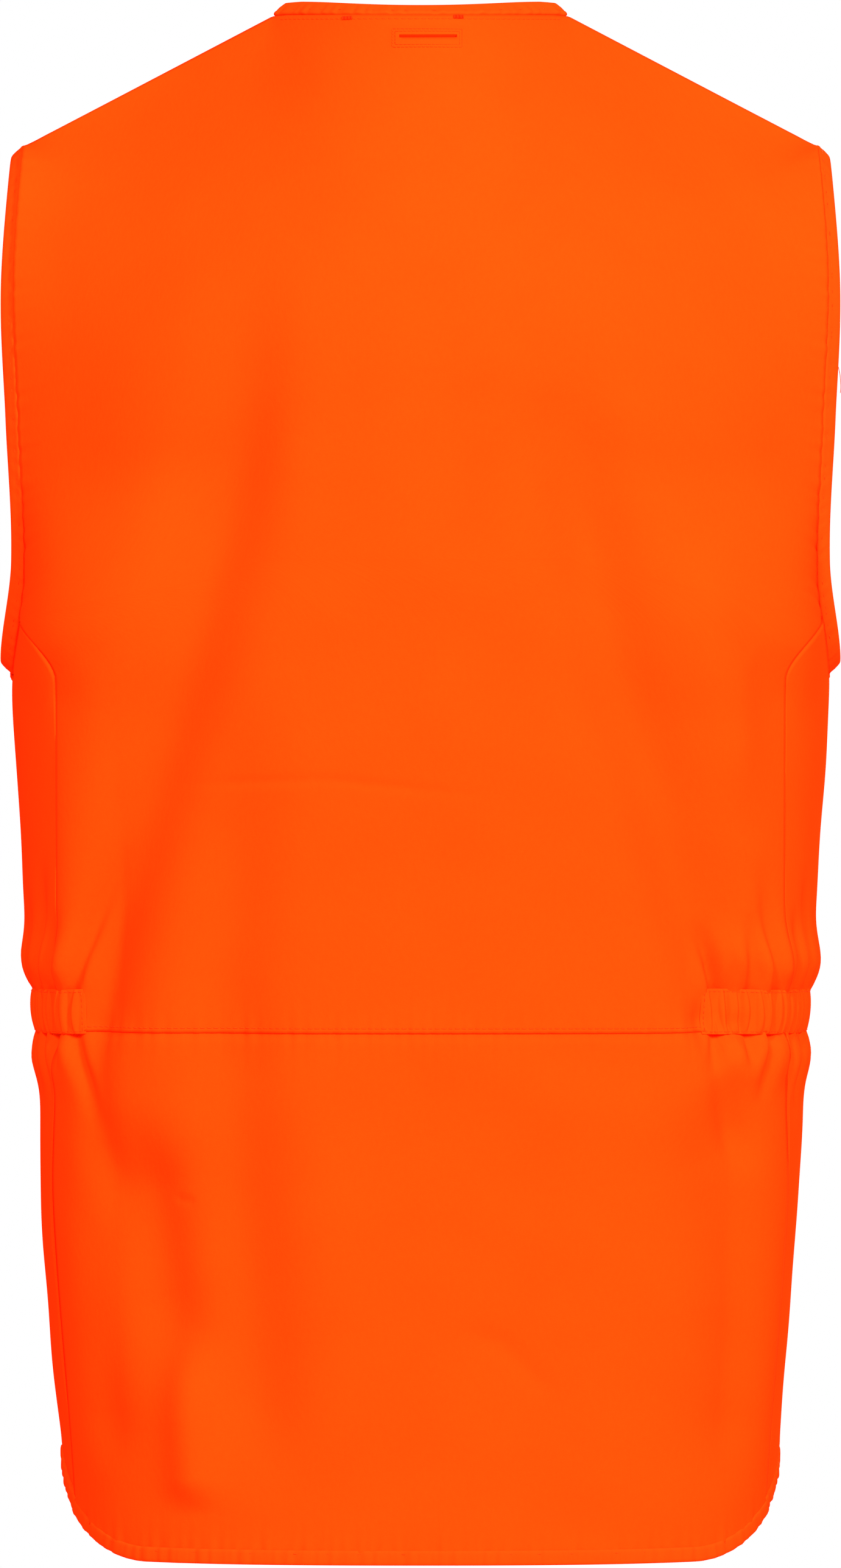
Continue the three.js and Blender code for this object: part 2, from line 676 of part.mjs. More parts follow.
function pocketShape(size, frame) {
  const place = (u, v) => frontPoint(lerp(size.outer, size.inner, u), size.top - mouthDrop - v * (size.height - mouthDrop));
  const width = size.outer - size.inner;
  const reach = (u, v) => {
    const point = place(u, v);
    const across = place(u - 1e-3, v).sub(point);
    const down = point.clone().sub(place(u, v + 1e-3));
    const normal = down.cross(across).normalize();
    const facing = normal.dot(frame.out) < 0 ? normal.negate() : normal;
    const away = frame.out.dot(point.clone().sub(frame.origin));
    return (size.depth - away) / facing.dot(frame.out);
  };
  const lift = (u, v) => {
    const fromSide = Math.min(u, 1 - u) * width;
    const fromBottom = (1 - v) * (size.height - mouthDrop);
    const rise = Math.min(fromSide / rimWidth, fromBottom / rimWidth, 1);
    return lerp(cloth + gap, reach(u, v), rise);
  };
  return sheet(place, cloth, 9, 8, lift);
}

function flapShape(size, frame) {
  const reach = size.depth + flapClearance + cloth;
  const half = frame.width / 2;
  const profile = new THREE.Shape([
    new THREE.Vector2(0, 0),
    new THREE.Vector2(reach, 0),
    new THREE.Vector2(reach, -size.flapDrop),
    new THREE.Vector2(reach - cloth, -size.flapDrop),
    new THREE.Vector2(reach - cloth, -cloth),
    new THREE.Vector2(0, -cloth),
  ]);
  const flap = new THREE.ExtrudeGeometry(profile, { depth: 2 * half, bevelEnabled: false });
  const frameTurn = new THREE.Matrix4().makeBasis(vec(0, 1, 0), vec(0, 0, 1), vec(1, 0, 0));
  return flap.applyMatrix4(frameTurn).translate(-half, 0, 0);
}

function disc(radius, height, y, z) {
  return new THREE.CylinderGeometry(radius, radius * 1.06, height, 20).translate(0, y + height / 2, z);
}

function addPocket(side, name, size) {
  const frame = pocketFrame(size);
  const turned = side === "left" ? mirrored : (shape) => shape;
  add(`${side}_${name}_pocket`, turned(pocketShape(size, frame)), colours.shell);
  const intoFrame = new THREE.Matrix4().makeBasis(frame.alongFold, frame.out, frame.up).setPosition(frame.origin);
  const placed = (shape) => turned(bare(shape).applyMatrix4(intoFrame));
  const snapLevel = -size.flapDrop + snapFromEdge;
  const flapFace = size.depth + flapClearance + cloth;
  add(`${side}_${name}_flap`, placed(flapShape(size, frame)), colours.shell);
  add(`${side}_${name}_snap_cap`, placed(disc(snapRadius, snapHeight, flapFace + gap, snapLevel)), colours.metal);
  add(`${side}_${name}_snap_stud`, placed(disc(studRadius, studHeight, size.depth + gap, snapLevel)), colours.metal);
}

addUpperBack();
addLowerBack();
addSides();
addFrontShoulders();
addArmholeBindings();
addNeckBindings();
addWaistElastic("left", casingInnerLeft);
addWaistElastic("right", casingInnerRight);
addNeckTrim();
addFronts();
addZipSides();
addSlider();
for (const side of ["left", "right"]) {
  addPocket(side, "lower", lowerPocket);
  addPocket(side, "chest", chestPocket);
}

export default vest;
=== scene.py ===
"""The looks of a blaze orange field vest, built piece by piece in the CAD model's frame.

Lengths here are millimetres until mesh_object() turns them into metres. +Z is up, the back faces
-Y and the wearer's right is +X. A grid's rows run down the cloth and its columns run to the right
as seen from outside; the left-hand pieces are mirror images of the right-hand ones.
"""
import math

import bpy
import numpy as np
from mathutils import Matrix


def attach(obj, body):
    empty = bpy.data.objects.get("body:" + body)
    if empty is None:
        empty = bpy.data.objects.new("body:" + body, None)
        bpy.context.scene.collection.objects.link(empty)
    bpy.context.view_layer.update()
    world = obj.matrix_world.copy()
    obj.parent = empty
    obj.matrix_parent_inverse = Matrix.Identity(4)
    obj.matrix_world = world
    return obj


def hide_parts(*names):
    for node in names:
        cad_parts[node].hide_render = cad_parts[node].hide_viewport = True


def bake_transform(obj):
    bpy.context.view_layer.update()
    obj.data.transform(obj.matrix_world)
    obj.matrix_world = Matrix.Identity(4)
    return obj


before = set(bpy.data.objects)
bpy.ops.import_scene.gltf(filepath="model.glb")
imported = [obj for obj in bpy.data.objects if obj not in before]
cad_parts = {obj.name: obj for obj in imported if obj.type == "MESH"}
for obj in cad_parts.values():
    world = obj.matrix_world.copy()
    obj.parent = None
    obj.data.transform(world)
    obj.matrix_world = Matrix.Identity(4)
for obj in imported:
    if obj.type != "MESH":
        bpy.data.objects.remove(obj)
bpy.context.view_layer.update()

MM = 0.001

# ---- the cut of the vest, as in the CAD model ----
CLOTH = 2.0
THIN_CLOTH = 0.9
ARMHOLE_BINDING_WIDTH = 9.5
NECK_BINDING_WIDTH = 10.0
HEM_BINDING_HEIGHT = 7.5
NECK_HALF = 74.0
SHOULDER_HALF = 198.0
SHOULDER_SLOPE = 0.525
BACK_NECK_DEPTH = 50.0
BACK_NECK_DROP = 3.0
FRONT_NECK_DROP = 222.0
RIDGE_HALF = 1.9
ARMHOLE_TOP = -(SHOULDER_HALF - NECK_HALF) * SHOULDER_SLOPE
ARMHOLE_DEPTH = 265.0
ARMHOLE_BOTTOM = ARMHOLE_TOP - ARMHOLE_DEPTH
ARMHOLE_BACK_DEPTH = 52.0
ARMHOLE_FRONT_DEPTH = 62.0
ARMHOLE_FRONT_CUT = 14.0
SEAM_MEETING = -303.0  # where the side seam runs into the armhole
WAIST = -507.6
BACK_HEM = -768.0
FRONT_HEM = -742.0
SIDE_HEM = -723.0
HEM_CORNER_START = 135.0
HEM_CORNER_WIDTH = 44.0
ROUNDNESS = 2.6
FRONT_FLATTENING = 0.32
BACK_SLOPE = 190.0
FRONT_SLOPE = 220.0
SIDE_SEAM_HALF = 180.0
LOW_SEAM_SHARE = 0.965
SEAM_RUN_OUT = 90.0
SEAM_LAP = 0.2  # how far a panel runs past the side seam
PANEL_EDGE = 6.0
CASING_MIDDLE = -497.5
CASING_HEIGHT = 22.0
CASING_FRONT_X = 136.0
ELASTIC_HEIGHT = 11.0
# The half-width down the side, as (level, half-width) points from the armhole to the hem.
WIDTHS = [
    (ARMHOLE_TOP, SHOULDER_HALF),
    (ARMHOLE_TOP - 70, SHOULDER_HALF + 4),
    (ARMHOLE_TOP - 140, SHOULDER_HALF + 1.5),
    (ARMHOLE_TOP - 215, SHOULDER_HALF - 1),
    (ARMHOLE_BOTTOM - 5, 203.5),
    (-435, 198.5),
    (WAIST, 191.5),
    (-602, 188.6),
    (SIDE_HEM, 179),
    (BACK_HEM, 177),
]
BINDING_LOW = -2.4
BINDING_HIGH = 0.9
BINDING_STITCH = 3.2
HEM_STITCH = 5.6
HEM_JOIN_X = -119
STITCH_LIFT = 0.45
SIDE_WORDS = {1: "right", -1: "left"}
# Where each side's elastic starts on the back, and the seed of its pleats.
CASINGS = {1: (144, 5), -1: (169, 11)}
BACK_DEPTHS = [(ARMHOLE_TOP, 135), (ARMHOLE_BOTTOM, 135), (WAIST, 127), (BACK_HEM, 132)]


# ---- the surface that every panel follows ----

def lerp(a, b, t):
    return a + (b - a) * t


GUARD = 1e-9  # added to a length that may be zero, before dividing by it


def unit(vectors, guard=0.0):
    """Vectors scaled to a length of one."""
    return vectors / (np.linalg.norm(vectors, axis=-1, keepdims=True) + guard)


def path_run(path):
    """The distance along a path to each of its points."""
    steps = np.linalg.norm(np.diff(path, axis=0), axis=1)
    return np.concatenate([[0], np.cumsum(steps)])


def smooth(start, end, value):
    t = np.clip((value - start) / (end - start), 0, 1)
    return t * t * (3 - 2 * t)


def along(points, z):
    """The value at level z on a smooth line through (level, value) points, listed from the top down."""
    levels, values = np.array(points, float).T
    slopes = np.gradient(values)
    slopes[1:-1] = (values[2:] - values[:-2]) / (levels[2:] - levels[:-2])
    slopes[0] = (values[1] - values[0]) / (levels[1] - levels[0])
    slopes[-1] = (values[-1] - values[-2]) / (levels[-1] - levels[-2])
    z = np.clip(z, levels[-1], levels[0])
    i = np.clip(np.searchsorted(-levels, -z, side="right") - 1, 0, len(levels) - 2)
    step = levels[i + 1] - levels[i]
    t = (z - levels[i]) / step
    rise = values[i + 1] - values[i]
    start = slopes[i] * step
    end = slopes[i + 1] * step
    return values[i] + t * start + t * t * (3 * rise - 2 * start - end) + t**3 * (start + end - 2 * rise)


def half_width(z):
    return along(WIDTHS, z)


def back_depth(z):
    return along(BACK_DEPTHS, z)


def front_depth(z):
    return lerp(136, 128, (-FRONT_NECK_DROP - z) / (-FRONT_NECK_DROP - FRONT_HEM))


def front_roundness(z):
    t = np.clip((-FRONT_NECK_DROP - z) / (-FRONT_NECK_DROP - SIDE_HEM), 0, 1)
    return ROUNDNESS - FRONT_FLATTENING * np.sin(np.pi * t)


def shoulder_line(x):
    return -SHOULDER_SLOPE * np.maximum(np.abs(x) - NECK_HALF, 0)


def armhole_share(z):
    return np.clip((ARMHOLE_TOP - z) / ARMHOLE_DEPTH, 0, 1)


def armhole_edge(z, depth):
    return depth * (1 - np.abs(2 * armhole_share(z) - 1) ** 2.4) ** (1 / 2.4)


EASING = [(step, 1 - step * step) for step in np.linspace(-0.96, 0.96, 25)]


def eased_edge(z, depth, share):
    """How far the armhole draws the cloth out at level z, eased so that it leaves no crease."""
    reach = 34 * (1 - share**6)
    total = sum(weight * armhole_edge(z + step * reach, depth) for step, weight in EASING)
    return total / sum(weight for step, weight in EASING)


def eased_neck(x, drop):
    """How far the neck draws the cloth back, eased below the neckline so it leaves no crease."""
    reach = np.clip(drop * 0.7, 0, 46)
    total = 0
    for step, weight in EASING:
        share = np.minimum(np.abs(x + step * reach) / NECK_HALF, 1)
        total = total + weight * BACK_NECK_DEPTH * (1 - share * share)
    return total / sum(weight for step, weight in EASING)


def eased_shoulder(x, drop):
    """The shoulder line's level, eased below it so its bend at the neck leaves no crease."""
    reach = np.clip(drop * 0.8, 0, 60)
    total = sum(weight * shoulder_line(x + step * reach) for step, weight in EASING)
    return total / sum(weight for step, weight in EASING)


def front_edge_x(z):
    return half_width(z) - ARMHOLE_FRONT_CUT * np.sin(np.pi * armhole_share(z))


def flare(z, exponent):
    t = np.clip((ARMHOLE_TOP - 150 - z) / (ARMHOLE_DEPTH - 150), 0, 1)
    return 1 / lerp(1, exponent, t**3 * (t * (6 * t - 15) + 10))


def closing(drop, reach):
    return 1 - (1 - np.clip(drop / reach, 0, 1)) ** 2


def back_point(x, z):
    x, z = np.broadcast_arrays(np.asarray(x, float), np.asarray(z, float))
    share = np.minimum(np.abs(x) / half_width(z), 1)
    shape = (1 - share**ROUNDNESS) ** flare(z, ROUNDNESS)
    drop = shoulder_line(x) - z
    closed = closing(eased_shoulder(x, drop) - z, BACK_SLOPE)
    depth = lerp(eased_neck(x, drop), back_depth(z), closed)
    y = -lerp(eased_edge(z, ARMHOLE_BACK_DEPTH, share), depth, shape) - RIDGE_HALF * (1 - closed)
    return np.stack([x, y, z], -1)


def front_point(x, z):
    x, z = np.broadcast_arrays(np.asarray(x, float), np.asarray(z, float))
    exponent = front_roundness(z)
    share = np.minimum(np.abs(x) / front_edge_x(z), 1)
    shape = (1 - share**exponent) ** flare(z, exponent)
    closed = closing(shoulder_line(x) - z, FRONT_SLOPE)
    edge = eased_edge(z, ARMHOLE_FRONT_DEPTH, share)
    y = lerp(edge, front_depth(z) * closed, shape) + RIDGE_HALF * (1 - closed)
    return np.stack([x, y, z], -1)


def ring_point(angle, z):
    """A point of the ring below the armholes: angle 0 is the centre back, a quarter turn the right side."""
    angle, z = np.broadcast_arrays(np.asarray(angle, float), np.asarray(z, float))
    across = np.sin(angle)
    back = -np.cos(angle)
    exponent = np.where(back < 0, ROUNDNESS, front_roundness(z))
    depth = np.where(back < 0, back_depth(z), front_depth(z))
    total = (np.abs(across) / half_width(z)) ** exponent + (np.abs(back) / depth) ** exponent
    radius = total ** (-1 / exponent)
    return np.stack([radius * across, radius * back, z], -1)


def ring_angle(points):
    return np.arctan2(points[..., 0], -points[..., 1])


def neckline(z):
    return lerp(NECK_HALF, PANEL_EDGE, np.clip(-z / FRONT_NECK_DROP, 0, 1))


def hem_level(x, middle):
    t = np.clip((np.abs(x) - HEM_CORNER_START) / HEM_CORNER_WIDTH, 0, 1)
    return middle + (SIDE_HEM - middle) * (1 - np.sqrt(1 - t * t))


def side_seam_x(z):
    """Half-width at the seam between the back and the side, from the armhole down to the hem."""
    low = LOW_SEAM_SHARE * half_width(z)
    seam = lerp(SIDE_SEAM_HALF, low, smooth(WAIST, WAIST - SEAM_RUN_OUT, z))
    return lerp(half_width(z), seam, smooth(SEAM_MEETING, ARMHOLE_BOTTOM - 4, z) ** 0.7)


def back_top_level(x):
    neck = np.minimum(np.abs(x) / NECK_HALF, 1)
    return shoulder_line(x) - np.maximum(BACK_NECK_DROP * (1 - neck * neck), 0.6)


# ---- folds and puckers ----

def fold(x, z, path, width, height, fade_in=0.25, fade_out=0.25):
    """Height of one soft fold whose crest follows path, fading out towards its ends."""
    path = np.array(path, float)
    nearest = np.full(x.shape, 1e9)
    run = np.zeros(x.shape)
    done = 0.0
    for start, end in zip(path[:-1], path[1:]):
        step = end - start
        t = np.clip(((x - start[0]) * step[0] + (z - start[1]) * step[1]) / (step @ step), 0, 1)
        distance = np.hypot(x - start[0] - t * step[0], z - start[1] - t * step[1])
        run = np.where(distance < nearest, done + t * math.hypot(*step), run)
        nearest = np.minimum(nearest, distance)
        done += math.hypot(*step)
    share = run / done
    fade = np.ones(x.shape)
    if fade_in:
        fade = fade * smooth(0, fade_in, share)
    if fade_out:
        fade = fade * smooth(1, 1 - fade_out, share)
    return height * fade * np.exp(-((nearest / width) ** 2))


def ripple(run, wavelength, seed):
    """An uneven wave along a seam, between about -1 and 1."""
    phases = np.random.default_rng(seed).uniform(0, 2 * np.pi, 5)
    scales = (0.43, 0.71, 1.0, 1.37, 2.1)
    shares = (0.35, 0.3, 0.5, 0.3, 0.15)
    waves = [
        share * np.sin(2 * np.pi * run * scale / wavelength + phase)
        for phase, scale, share in zip(phases, scales, shares)
    ]
    return sum(waves)


# The long soft folds of the upper back: (x, z) points of each dent or crest, half-width, height.
BACK_FOLDS = [
    ([(-72, -90), (-80, -150), (-90, -210), (-104, -270), (-120, -330), (-138, -390), (-156, -440),
      (-172, -486)],
     26, -15.5, 0.5, 0.0),
    ([(-84, -330), (-92, -407), (-97, -480), (-92, -530), (-93, -578), (-84, -660), (-78, -745)],
     22, -7.6, 0.25, 0.15),
    ([(66, -130), (74, -210), (88, -290), (103, -346), (120, -395), (134, -444), (150, -488)],
     22, -12.0, 0.4, 0.0),
    ([(10, -120), (14, -200), (19, -300)], 22, -2.6, 0.3, 0.5),
    ([(-60, -120), (-64, -200), (-74, -290)], 18, 2.2, 0.4, 0.4),
    ([(-182, -330), (-184, -400), (-180, -470)], 14, -4.5, 0.3, 0.2),
    ([(136, -260), (150, -330), (164, -410)], 17, 4.2, 0.3, 0.3),
    ([(-131, -386), (-46, -383), (40, -392)], 2.6, -0.5, 0.3, 0.3),
    ([(-148, -540), (-136, -600), (-126, -668), (-120, -700)], 22, -12.5, 0.3, 0.4),
    ([(-116, -650), (-113, -700), (-110, -745)], 12, 6.5, 0.4, 0.2),
    ([(-126, -589), (-112, -591)], 2.4, -0.6, 0.3, 0.3),
    ([(-178, -560), (-172, -640), (-160, -730)], 17, -6.0, 0.3, 0.2),
    ([(-56, -520), (-48, -600), (-36, -690)], 20, 2.4, 0.3, 0.4),
    ([(143, -504), (154, -545), (168, -585)], 8, -5.0, 0.0, 0.4),
    ([(160, -504), (176, -540), (184, -570)], 6, -3.6, 0.0, 0.4),
    ([(140, -530), (154, -580), (166, -640), (170, -740)], 26, -8.0, 0.2, 0.2),
    ([(60, -540), (50, -602), (34, -669), (30, -730)], 20, -2.4, 0.3, 0.4),
    ([(-166, -508), (-162, -560), (-150, -620)], 10, -4.0, 0.0, 0.5),
    ([(15, -650), (40, -660), (70, -690)], 6, -0.8, 0.3, 0.3),
]

ARC = 3.1 * 180 / math.pi  # millimetres of waist for each radian round the body
PLEAT_COUNT = 42
CASING_TOP = CASING_MIDDLE + CASING_HEIGHT / 2
CASING_BOTTOM = CASING_MIDDLE - CASING_HEIGHT / 2


def shoulder_tension(x, z):
    """Faint drag lines across the shoulder blades and along the waist."""
    height = 0.5 * ripple(z * 0.8 + 0.3 * np.abs(x), 64, 21) * smooth(-40, -120, z)
    return height + 0.35 * ripple(x + 0.2 * z, 90, 4)


def waist_run(points):
    """Distance round the body from the centre back, about as the waist measures it."""
    return ARC * np.abs(ring_angle(points))


def casing_ends(inner):
    start = ring_angle(back_point(inner, CASING_MIDDLE))
    end = ring_angle(front_point(CASING_FRONT_X, CASING_MIDDLE))
    return float(start), float(end)


def pleats(inner, seed):
    """Where the elastic gathers the cloth: place along the waist, lean, width, depth, length up and down."""
    rng = np.random.default_rng(seed)
    start, end = (ARC * angle for angle in casing_ends(inner))
    middle = (start + end) / 2
    found = []
    for i in range(PLEAT_COUNT):
        at = lerp(start + 2, end - 4, (i + rng.uniform(0.15, 0.85)) / PLEAT_COUNT)
        lean = (at - middle) / (end - start) * 0.7 + rng.uniform(-0.14, 0.14)
        deep = i % 3 == 1
        length = rng.uniform(34, 78) if deep else rng.uniform(9, 24)
        depth = rng.uniform(4.4, 6.4) if deep else rng.uniform(1.3, 2.4)
        width = rng.uniform(2.4, 3.4) if deep else rng.uniform(1.4, 2.1)
        found.append((at, lean, width, depth, length, length * rng.uniform(0.5, 0.9)))
    return found


def gathers(run, z, inner, seed):
    """Creases that fan out of the elastic casing, above it and below it."""
    start, end = (ARC * angle for angle in casing_ends(inner))
    height = np.zeros(run.shape)
    near = (np.abs(z - CASING_MIDDLE) < 120) & (run > start - 60) & (run < end + 60)
    if not near.any():
        return height
    spot_run, spot_z = run[near], z[near]
    above = np.clip((spot_z - CASING_TOP) / 60, 0, 1.2)
    below = np.clip((CASING_BOTTOM - spot_z) / 60, 0, 1.2)
    total = np.zeros(spot_run.shape)
    for at, lean, width, depth, rise, drop in pleats(inner, seed):
        up = [(at, CASING_TOP - 2), (at + lean * rise * 0.4, CASING_TOP + rise * 0.4),
              (at + lean * rise, CASING_TOP + rise)]
        down = [(at, CASING_BOTTOM + 2), (at + lean * drop * 0.8, CASING_BOTTOM - drop)]
        total -= fold(spot_run, spot_z, up, width * (1 + above), depth, 0, 0.75)
        total -= fold(spot_run, spot_z, down, width * (1 + below), 0.8 * depth, 0, 0.75)
    swell = smooth(start - 12, start + 16, spot_run) * smooth(end + 12, end - 16, spot_run)
    blouse = 5.8 * np.exp(-(((spot_z - CASING_TOP - 12) / 16) ** 2))
    blouse += 4.4 * np.exp(-(((spot_z - CASING_BOTTOM + 11) / 14) ** 2))
    tucked = -1.2 * np.exp(-(((spot_z - CASING_MIDDLE) / (CASING_HEIGHT / 2)) ** 4))
    height[near] = total + swell * (blouse + tucked)
    return height


def back_folds(points):
    """Height of the long folds of the back, faded out at its edges and absent from the sides and fronts."""
    x, z = points[..., 0], points[..., 2]
    shape = shoulder_tension(x, z)
    for path, width, height, fade_in, fade_out in BACK_FOLDS:
        shape += fold(x, z, path, width, height, fade_in, fade_out)
    return shape * smooth(0.5, 26, side_seam_x(z) - np.abs(x)) * (points[..., 1] < 0)


def back_relief(points):
    """Height of the cloth's folds, gathers and puckers at each point of the back's panels."""
    x, z = points[..., 0], points[..., 2]
    run = waist_run(points)
    height = back_folds(points) + np.where(x < 0, gathers(run, z, *CASINGS[-1]), gathers(run, z, *CASINGS[1]))
    height += ripple(run, 9.5, 3) * 0.45 * np.exp(-np.abs(z - WAIST) / 7)
    hem_gap = np.abs(z - hem_level(x, BACK_HEM) - HEM_BINDING_HEIGHT)
    return height + ripple(run, 8.0, 8) * 0.5 * np.exp(-hem_gap / 6)


# ---- mesh tools ----

def mesh_object(name, vertices, groups, uv=None, flat_groups=(), side=1):
    """A mesh object from points in millimetres and arrays of faces with the same number of corners.

    The groups whose numbers are in flat_groups are shaded flat, and side -1 gives the mirror image.
    """
    if side < 0:
        vertices = vertices * (-1, 1, 1)
        groups = [group[:, ::-1] for group in groups]
    mesh = bpy.data.meshes.new(name)
    loops = np.concatenate([group.ravel() for group in groups]).astype(np.int32)
    sizes = np.concatenate([np.full(len(group), group.shape[1]) for group in groups])
    starts = np.concatenate([[0], np.cumsum(sizes)[:-1]]).astype(np.int32)
    mesh.vertices.add(len(vertices))
    mesh.vertices.foreach_set("co", (vertices * MM).astype(np.float32).ravel())
    mesh.loops.add(len(loops))
    mesh.loops.foreach_set("vertex_index", loops)
    mesh.polygons.add(len(sizes))
    mesh.polygons.foreach_set("loop_start", starts)
    soft = [np.full(len(group), number not in flat_groups) for number, group in enumerate(groups)]
    mesh.polygons.foreach_set("use_smooth", np.concatenate(soft))
    if uv is None:
        uv = vertices[:, (0, 2)] * MM
    layer = mesh.uv_layers.new(name="cloth")
    layer.data.foreach_set("uv", uv[loops].astype(np.float32).ravel())
    mesh.update(calc_edges=True)
    mesh.validate()
    piece = bpy.data.objects.new(name, mesh)
    bpy.context.scene.collection.objects.link(piece)
    return piece


def outward(points):
    """The unit direction out of the cloth at each point of a grid."""
    across = np.gradient(points, axis=1)
    down = np.gradient(points, axis=0)
    normal = -np.cross(across, down)
    return unit(normal, GUARD)


def grid_lengths(points):
    """Distance across and down the grid at each of its points."""
    across = np.linalg.norm(np.diff(points, axis=1), axis=2)
    down = np.linalg.norm(np.diff(points, axis=0), axis=2)
    run = np.concatenate([np.zeros((len(points), 1)), np.cumsum(across, axis=1)], axis=1)
    drop = np.concatenate([np.zeros((1, points.shape[1])), np.cumsum(down, axis=0)], axis=0)
    return run, drop


class Panel:
    """A closed piece of cloth over a grid of points, with the cells that are there."""

    def __init__(self, name, points, relief=0.0, thickness=CLOTH, cells=None, side=1, crisp=False):
        rows, columns = points.shape[:2]
        self.side = side
        self.crisp = crisp
        self.name = name
        self.cut = points
        relief = np.broadcast_to(relief, (rows, columns))[..., None]
        normal = outward(points)
        self.outer = points + normal * relief
        self.inner = self.outer - normal * thickness
        self.normal = outward(self.outer)
        self.cells = np.ones((rows - 1, columns - 1), bool) if cells is None else cells
        run, drop = grid_lengths(points)
        self.uv = np.stack([run, -drop], -1)
        self.piece = self.build()

    def build(self):
        rows, columns = self.cut.shape[:2]
        index = np.arange(rows * columns).reshape(rows, columns)
        behind = rows * columns
        corners = (index[:-1, :-1], index[1:, :-1], index[1:, 1:], index[:-1, 1:])
        present = self.cells
        padded = np.pad(present, 1)
        faces = [np.stack([corner[present] for corner in corners], 1)]
        faces.append(np.stack([corner[present] + behind for corner in corners[::-1]], 1))
        # A wall runs against the outer face along each edge that has no cell beyond it.
        beyond = (padded[:-2, 1:-1], padded[2:, 1:-1], padded[1:-1, :-2], padded[1:-1, 2:])
        edges = ((3, 0), (1, 2), (0, 1), (2, 3))
        for missing, (first, second) in zip(beyond, edges):
            open_edge = present & ~missing
            a, b = corners[first][open_edge], corners[second][open_edge]
            faces.append(np.stack([b, a, a + behind, b + behind], 1))
        shell_count = len(faces[0]) + len(faces[1])
        quads = np.concatenate(faces)
        used, quads = np.unique(quads, return_inverse=True)
        quads = quads.reshape(-1, 4)
        vertices = np.concatenate([self.outer.reshape(-1, 3), self.inner.reshape(-1, 3)])[used]
        uv = np.concatenate([self.uv.reshape(-1, 2)] * 2)[used] * MM
        groups = [quads[:shell_count], quads[shell_count:]]
        return mesh_object(self.name, vertices, groups, uv, (1,) if self.crisp else (), self.side)

    def at(self, column, row):
        """Points and outward directions at fractions 0 to 1 of the grid's columns and rows."""
        rows, columns = self.cut.shape[:2]
        c = np.clip(np.asarray(column, float), 0, 1) * (columns - 1)
        r = np.clip(np.asarray(row, float), 0, 1) * (rows - 1)
        c0 = np.minimum(c.astype(int), columns - 2)
        r0 = np.minimum(r.astype(int), rows - 2)
        fc = (c - c0)[..., None]
        fr = (r - r0)[..., None]
        found = []
        for grid in (self.outer, self.normal):
            top = lerp(grid[r0, c0], grid[r0, c0 + 1], fc)
            low = lerp(grid[r0 + 1, c0], grid[r0 + 1, c0 + 1], fc)
            found.append(lerp(top, low, fr))
        points, normals = found
        if self.side < 0:
            points, normals = points * (-1, 1, 1), normals * (-1, 1, 1)
        return points, unit(normals)

    def flat(self):
        """Width and length of the cloth that the panel is cut from, and its area, in metres."""
        run, drop = grid_lengths(self.cut)
        across, down = np.diff(run, axis=1), np.diff(drop, axis=0)
        cell = 0.5 * (across[:-1] + across[1:]) * 0.5 * (down[:, :-1] + down[:, 1:])
        area = cell[self.cells].sum() * MM * MM
        width, length = run[:, -1].max() * MM, drop[-1].max() * MM
        return (width, length), min(area, width * length)


def grid(columns, rows):
    """Fractions across and down a grid with that many cells."""
    return np.meshgrid(np.linspace(0, 1, columns + 1), np.linspace(0, 1, rows + 1))


STITCH_RINGS = ((-0.5, 0.35), (-0.25, 1.0), (0.25, 1.0), (0.5, 0.35))


def stitch_mesh(points, normals, pitch, length=2.5, width=0.5, height=0.35):
    """Vertices and faces of a row of stitches along a line of points."""
    run = path_run(points)
    count = max(int(run[-1] / pitch), 1)
    centres = (np.arange(count) + 0.5) * run[-1] / count

    def found(values, places):
        return np.stack([np.interp(places, run, values[:, k]) for k in range(3)], 1)

    place = found(points, centres)
    forward = unit(found(points, centres + 0.5) - found(points, centres - 0.5), GUARD)
    up = found(normals, centres)
    up -= forward * (up * forward).sum(1, keepdims=True)
    up = unit(up, GUARD)
    across = np.cross(forward, up)
    corners = 5
    turns = np.linspace(0, 2 * np.pi, corners, endpoint=False)
    rings = []
    for share, size in STITCH_RINGS:
        for turn in turns:
            offset = across * math.cos(turn) * width * 0.5 * size
            rise = up * (math.sin(turn) * height * 0.5 * size + height * 0.25)
            rings.append(place + forward * share * length + offset + rise)
    vertices = np.stack(rings, 1)
    per = len(STITCH_RINGS) * corners
    base = np.arange(count)[:, None] * per
    quads = []
    for ring in range(len(STITCH_RINGS) - 1):
        for k in range(corners):
            a, b = ring * corners + k, ring * corners + (k + 1) % corners
            quads.append(np.stack([base[:, 0] + v for v in (a, b, b + corners, a + corners)], 1))
    caps = np.concatenate([base + np.arange(corners)[::-1], base + per - corners + np.arange(corners)])
    return vertices.reshape(-1, 3), np.concatenate(quads), caps


def stitches(name, lines, pitch, **sizes):
    """One piece holding every row of stitches in lines, each a pair of points and normals."""
    vertices, quads, caps, total = [], [], [], 0
    for points, normals in lines:
        v, q, c = stitch_mesh(points, normals, pitch, **sizes)
        vertices.append(v)
        quads.append(q + total)
        caps.append(c + total)
        total += len(v)
    return mesh_object(name, np.concatenate(vertices), [np.concatenate(quads), np.concatenate(caps)])


def row_line(panel, row, start=0.0, end=1.0, count=400):
    """A line across a panel."""
    column = np.linspace(start, end, count)
    return panel.at(column, np.full(count, row) if np.isscalar(row) else row)


def column_line(panel, column, start=0.0, end=1.0, count=400):
    """A line down a panel."""
    row = np.linspace(start, end, count)
    return panel.at(np.full(count, column) if np.isscalar(column) else column, row)


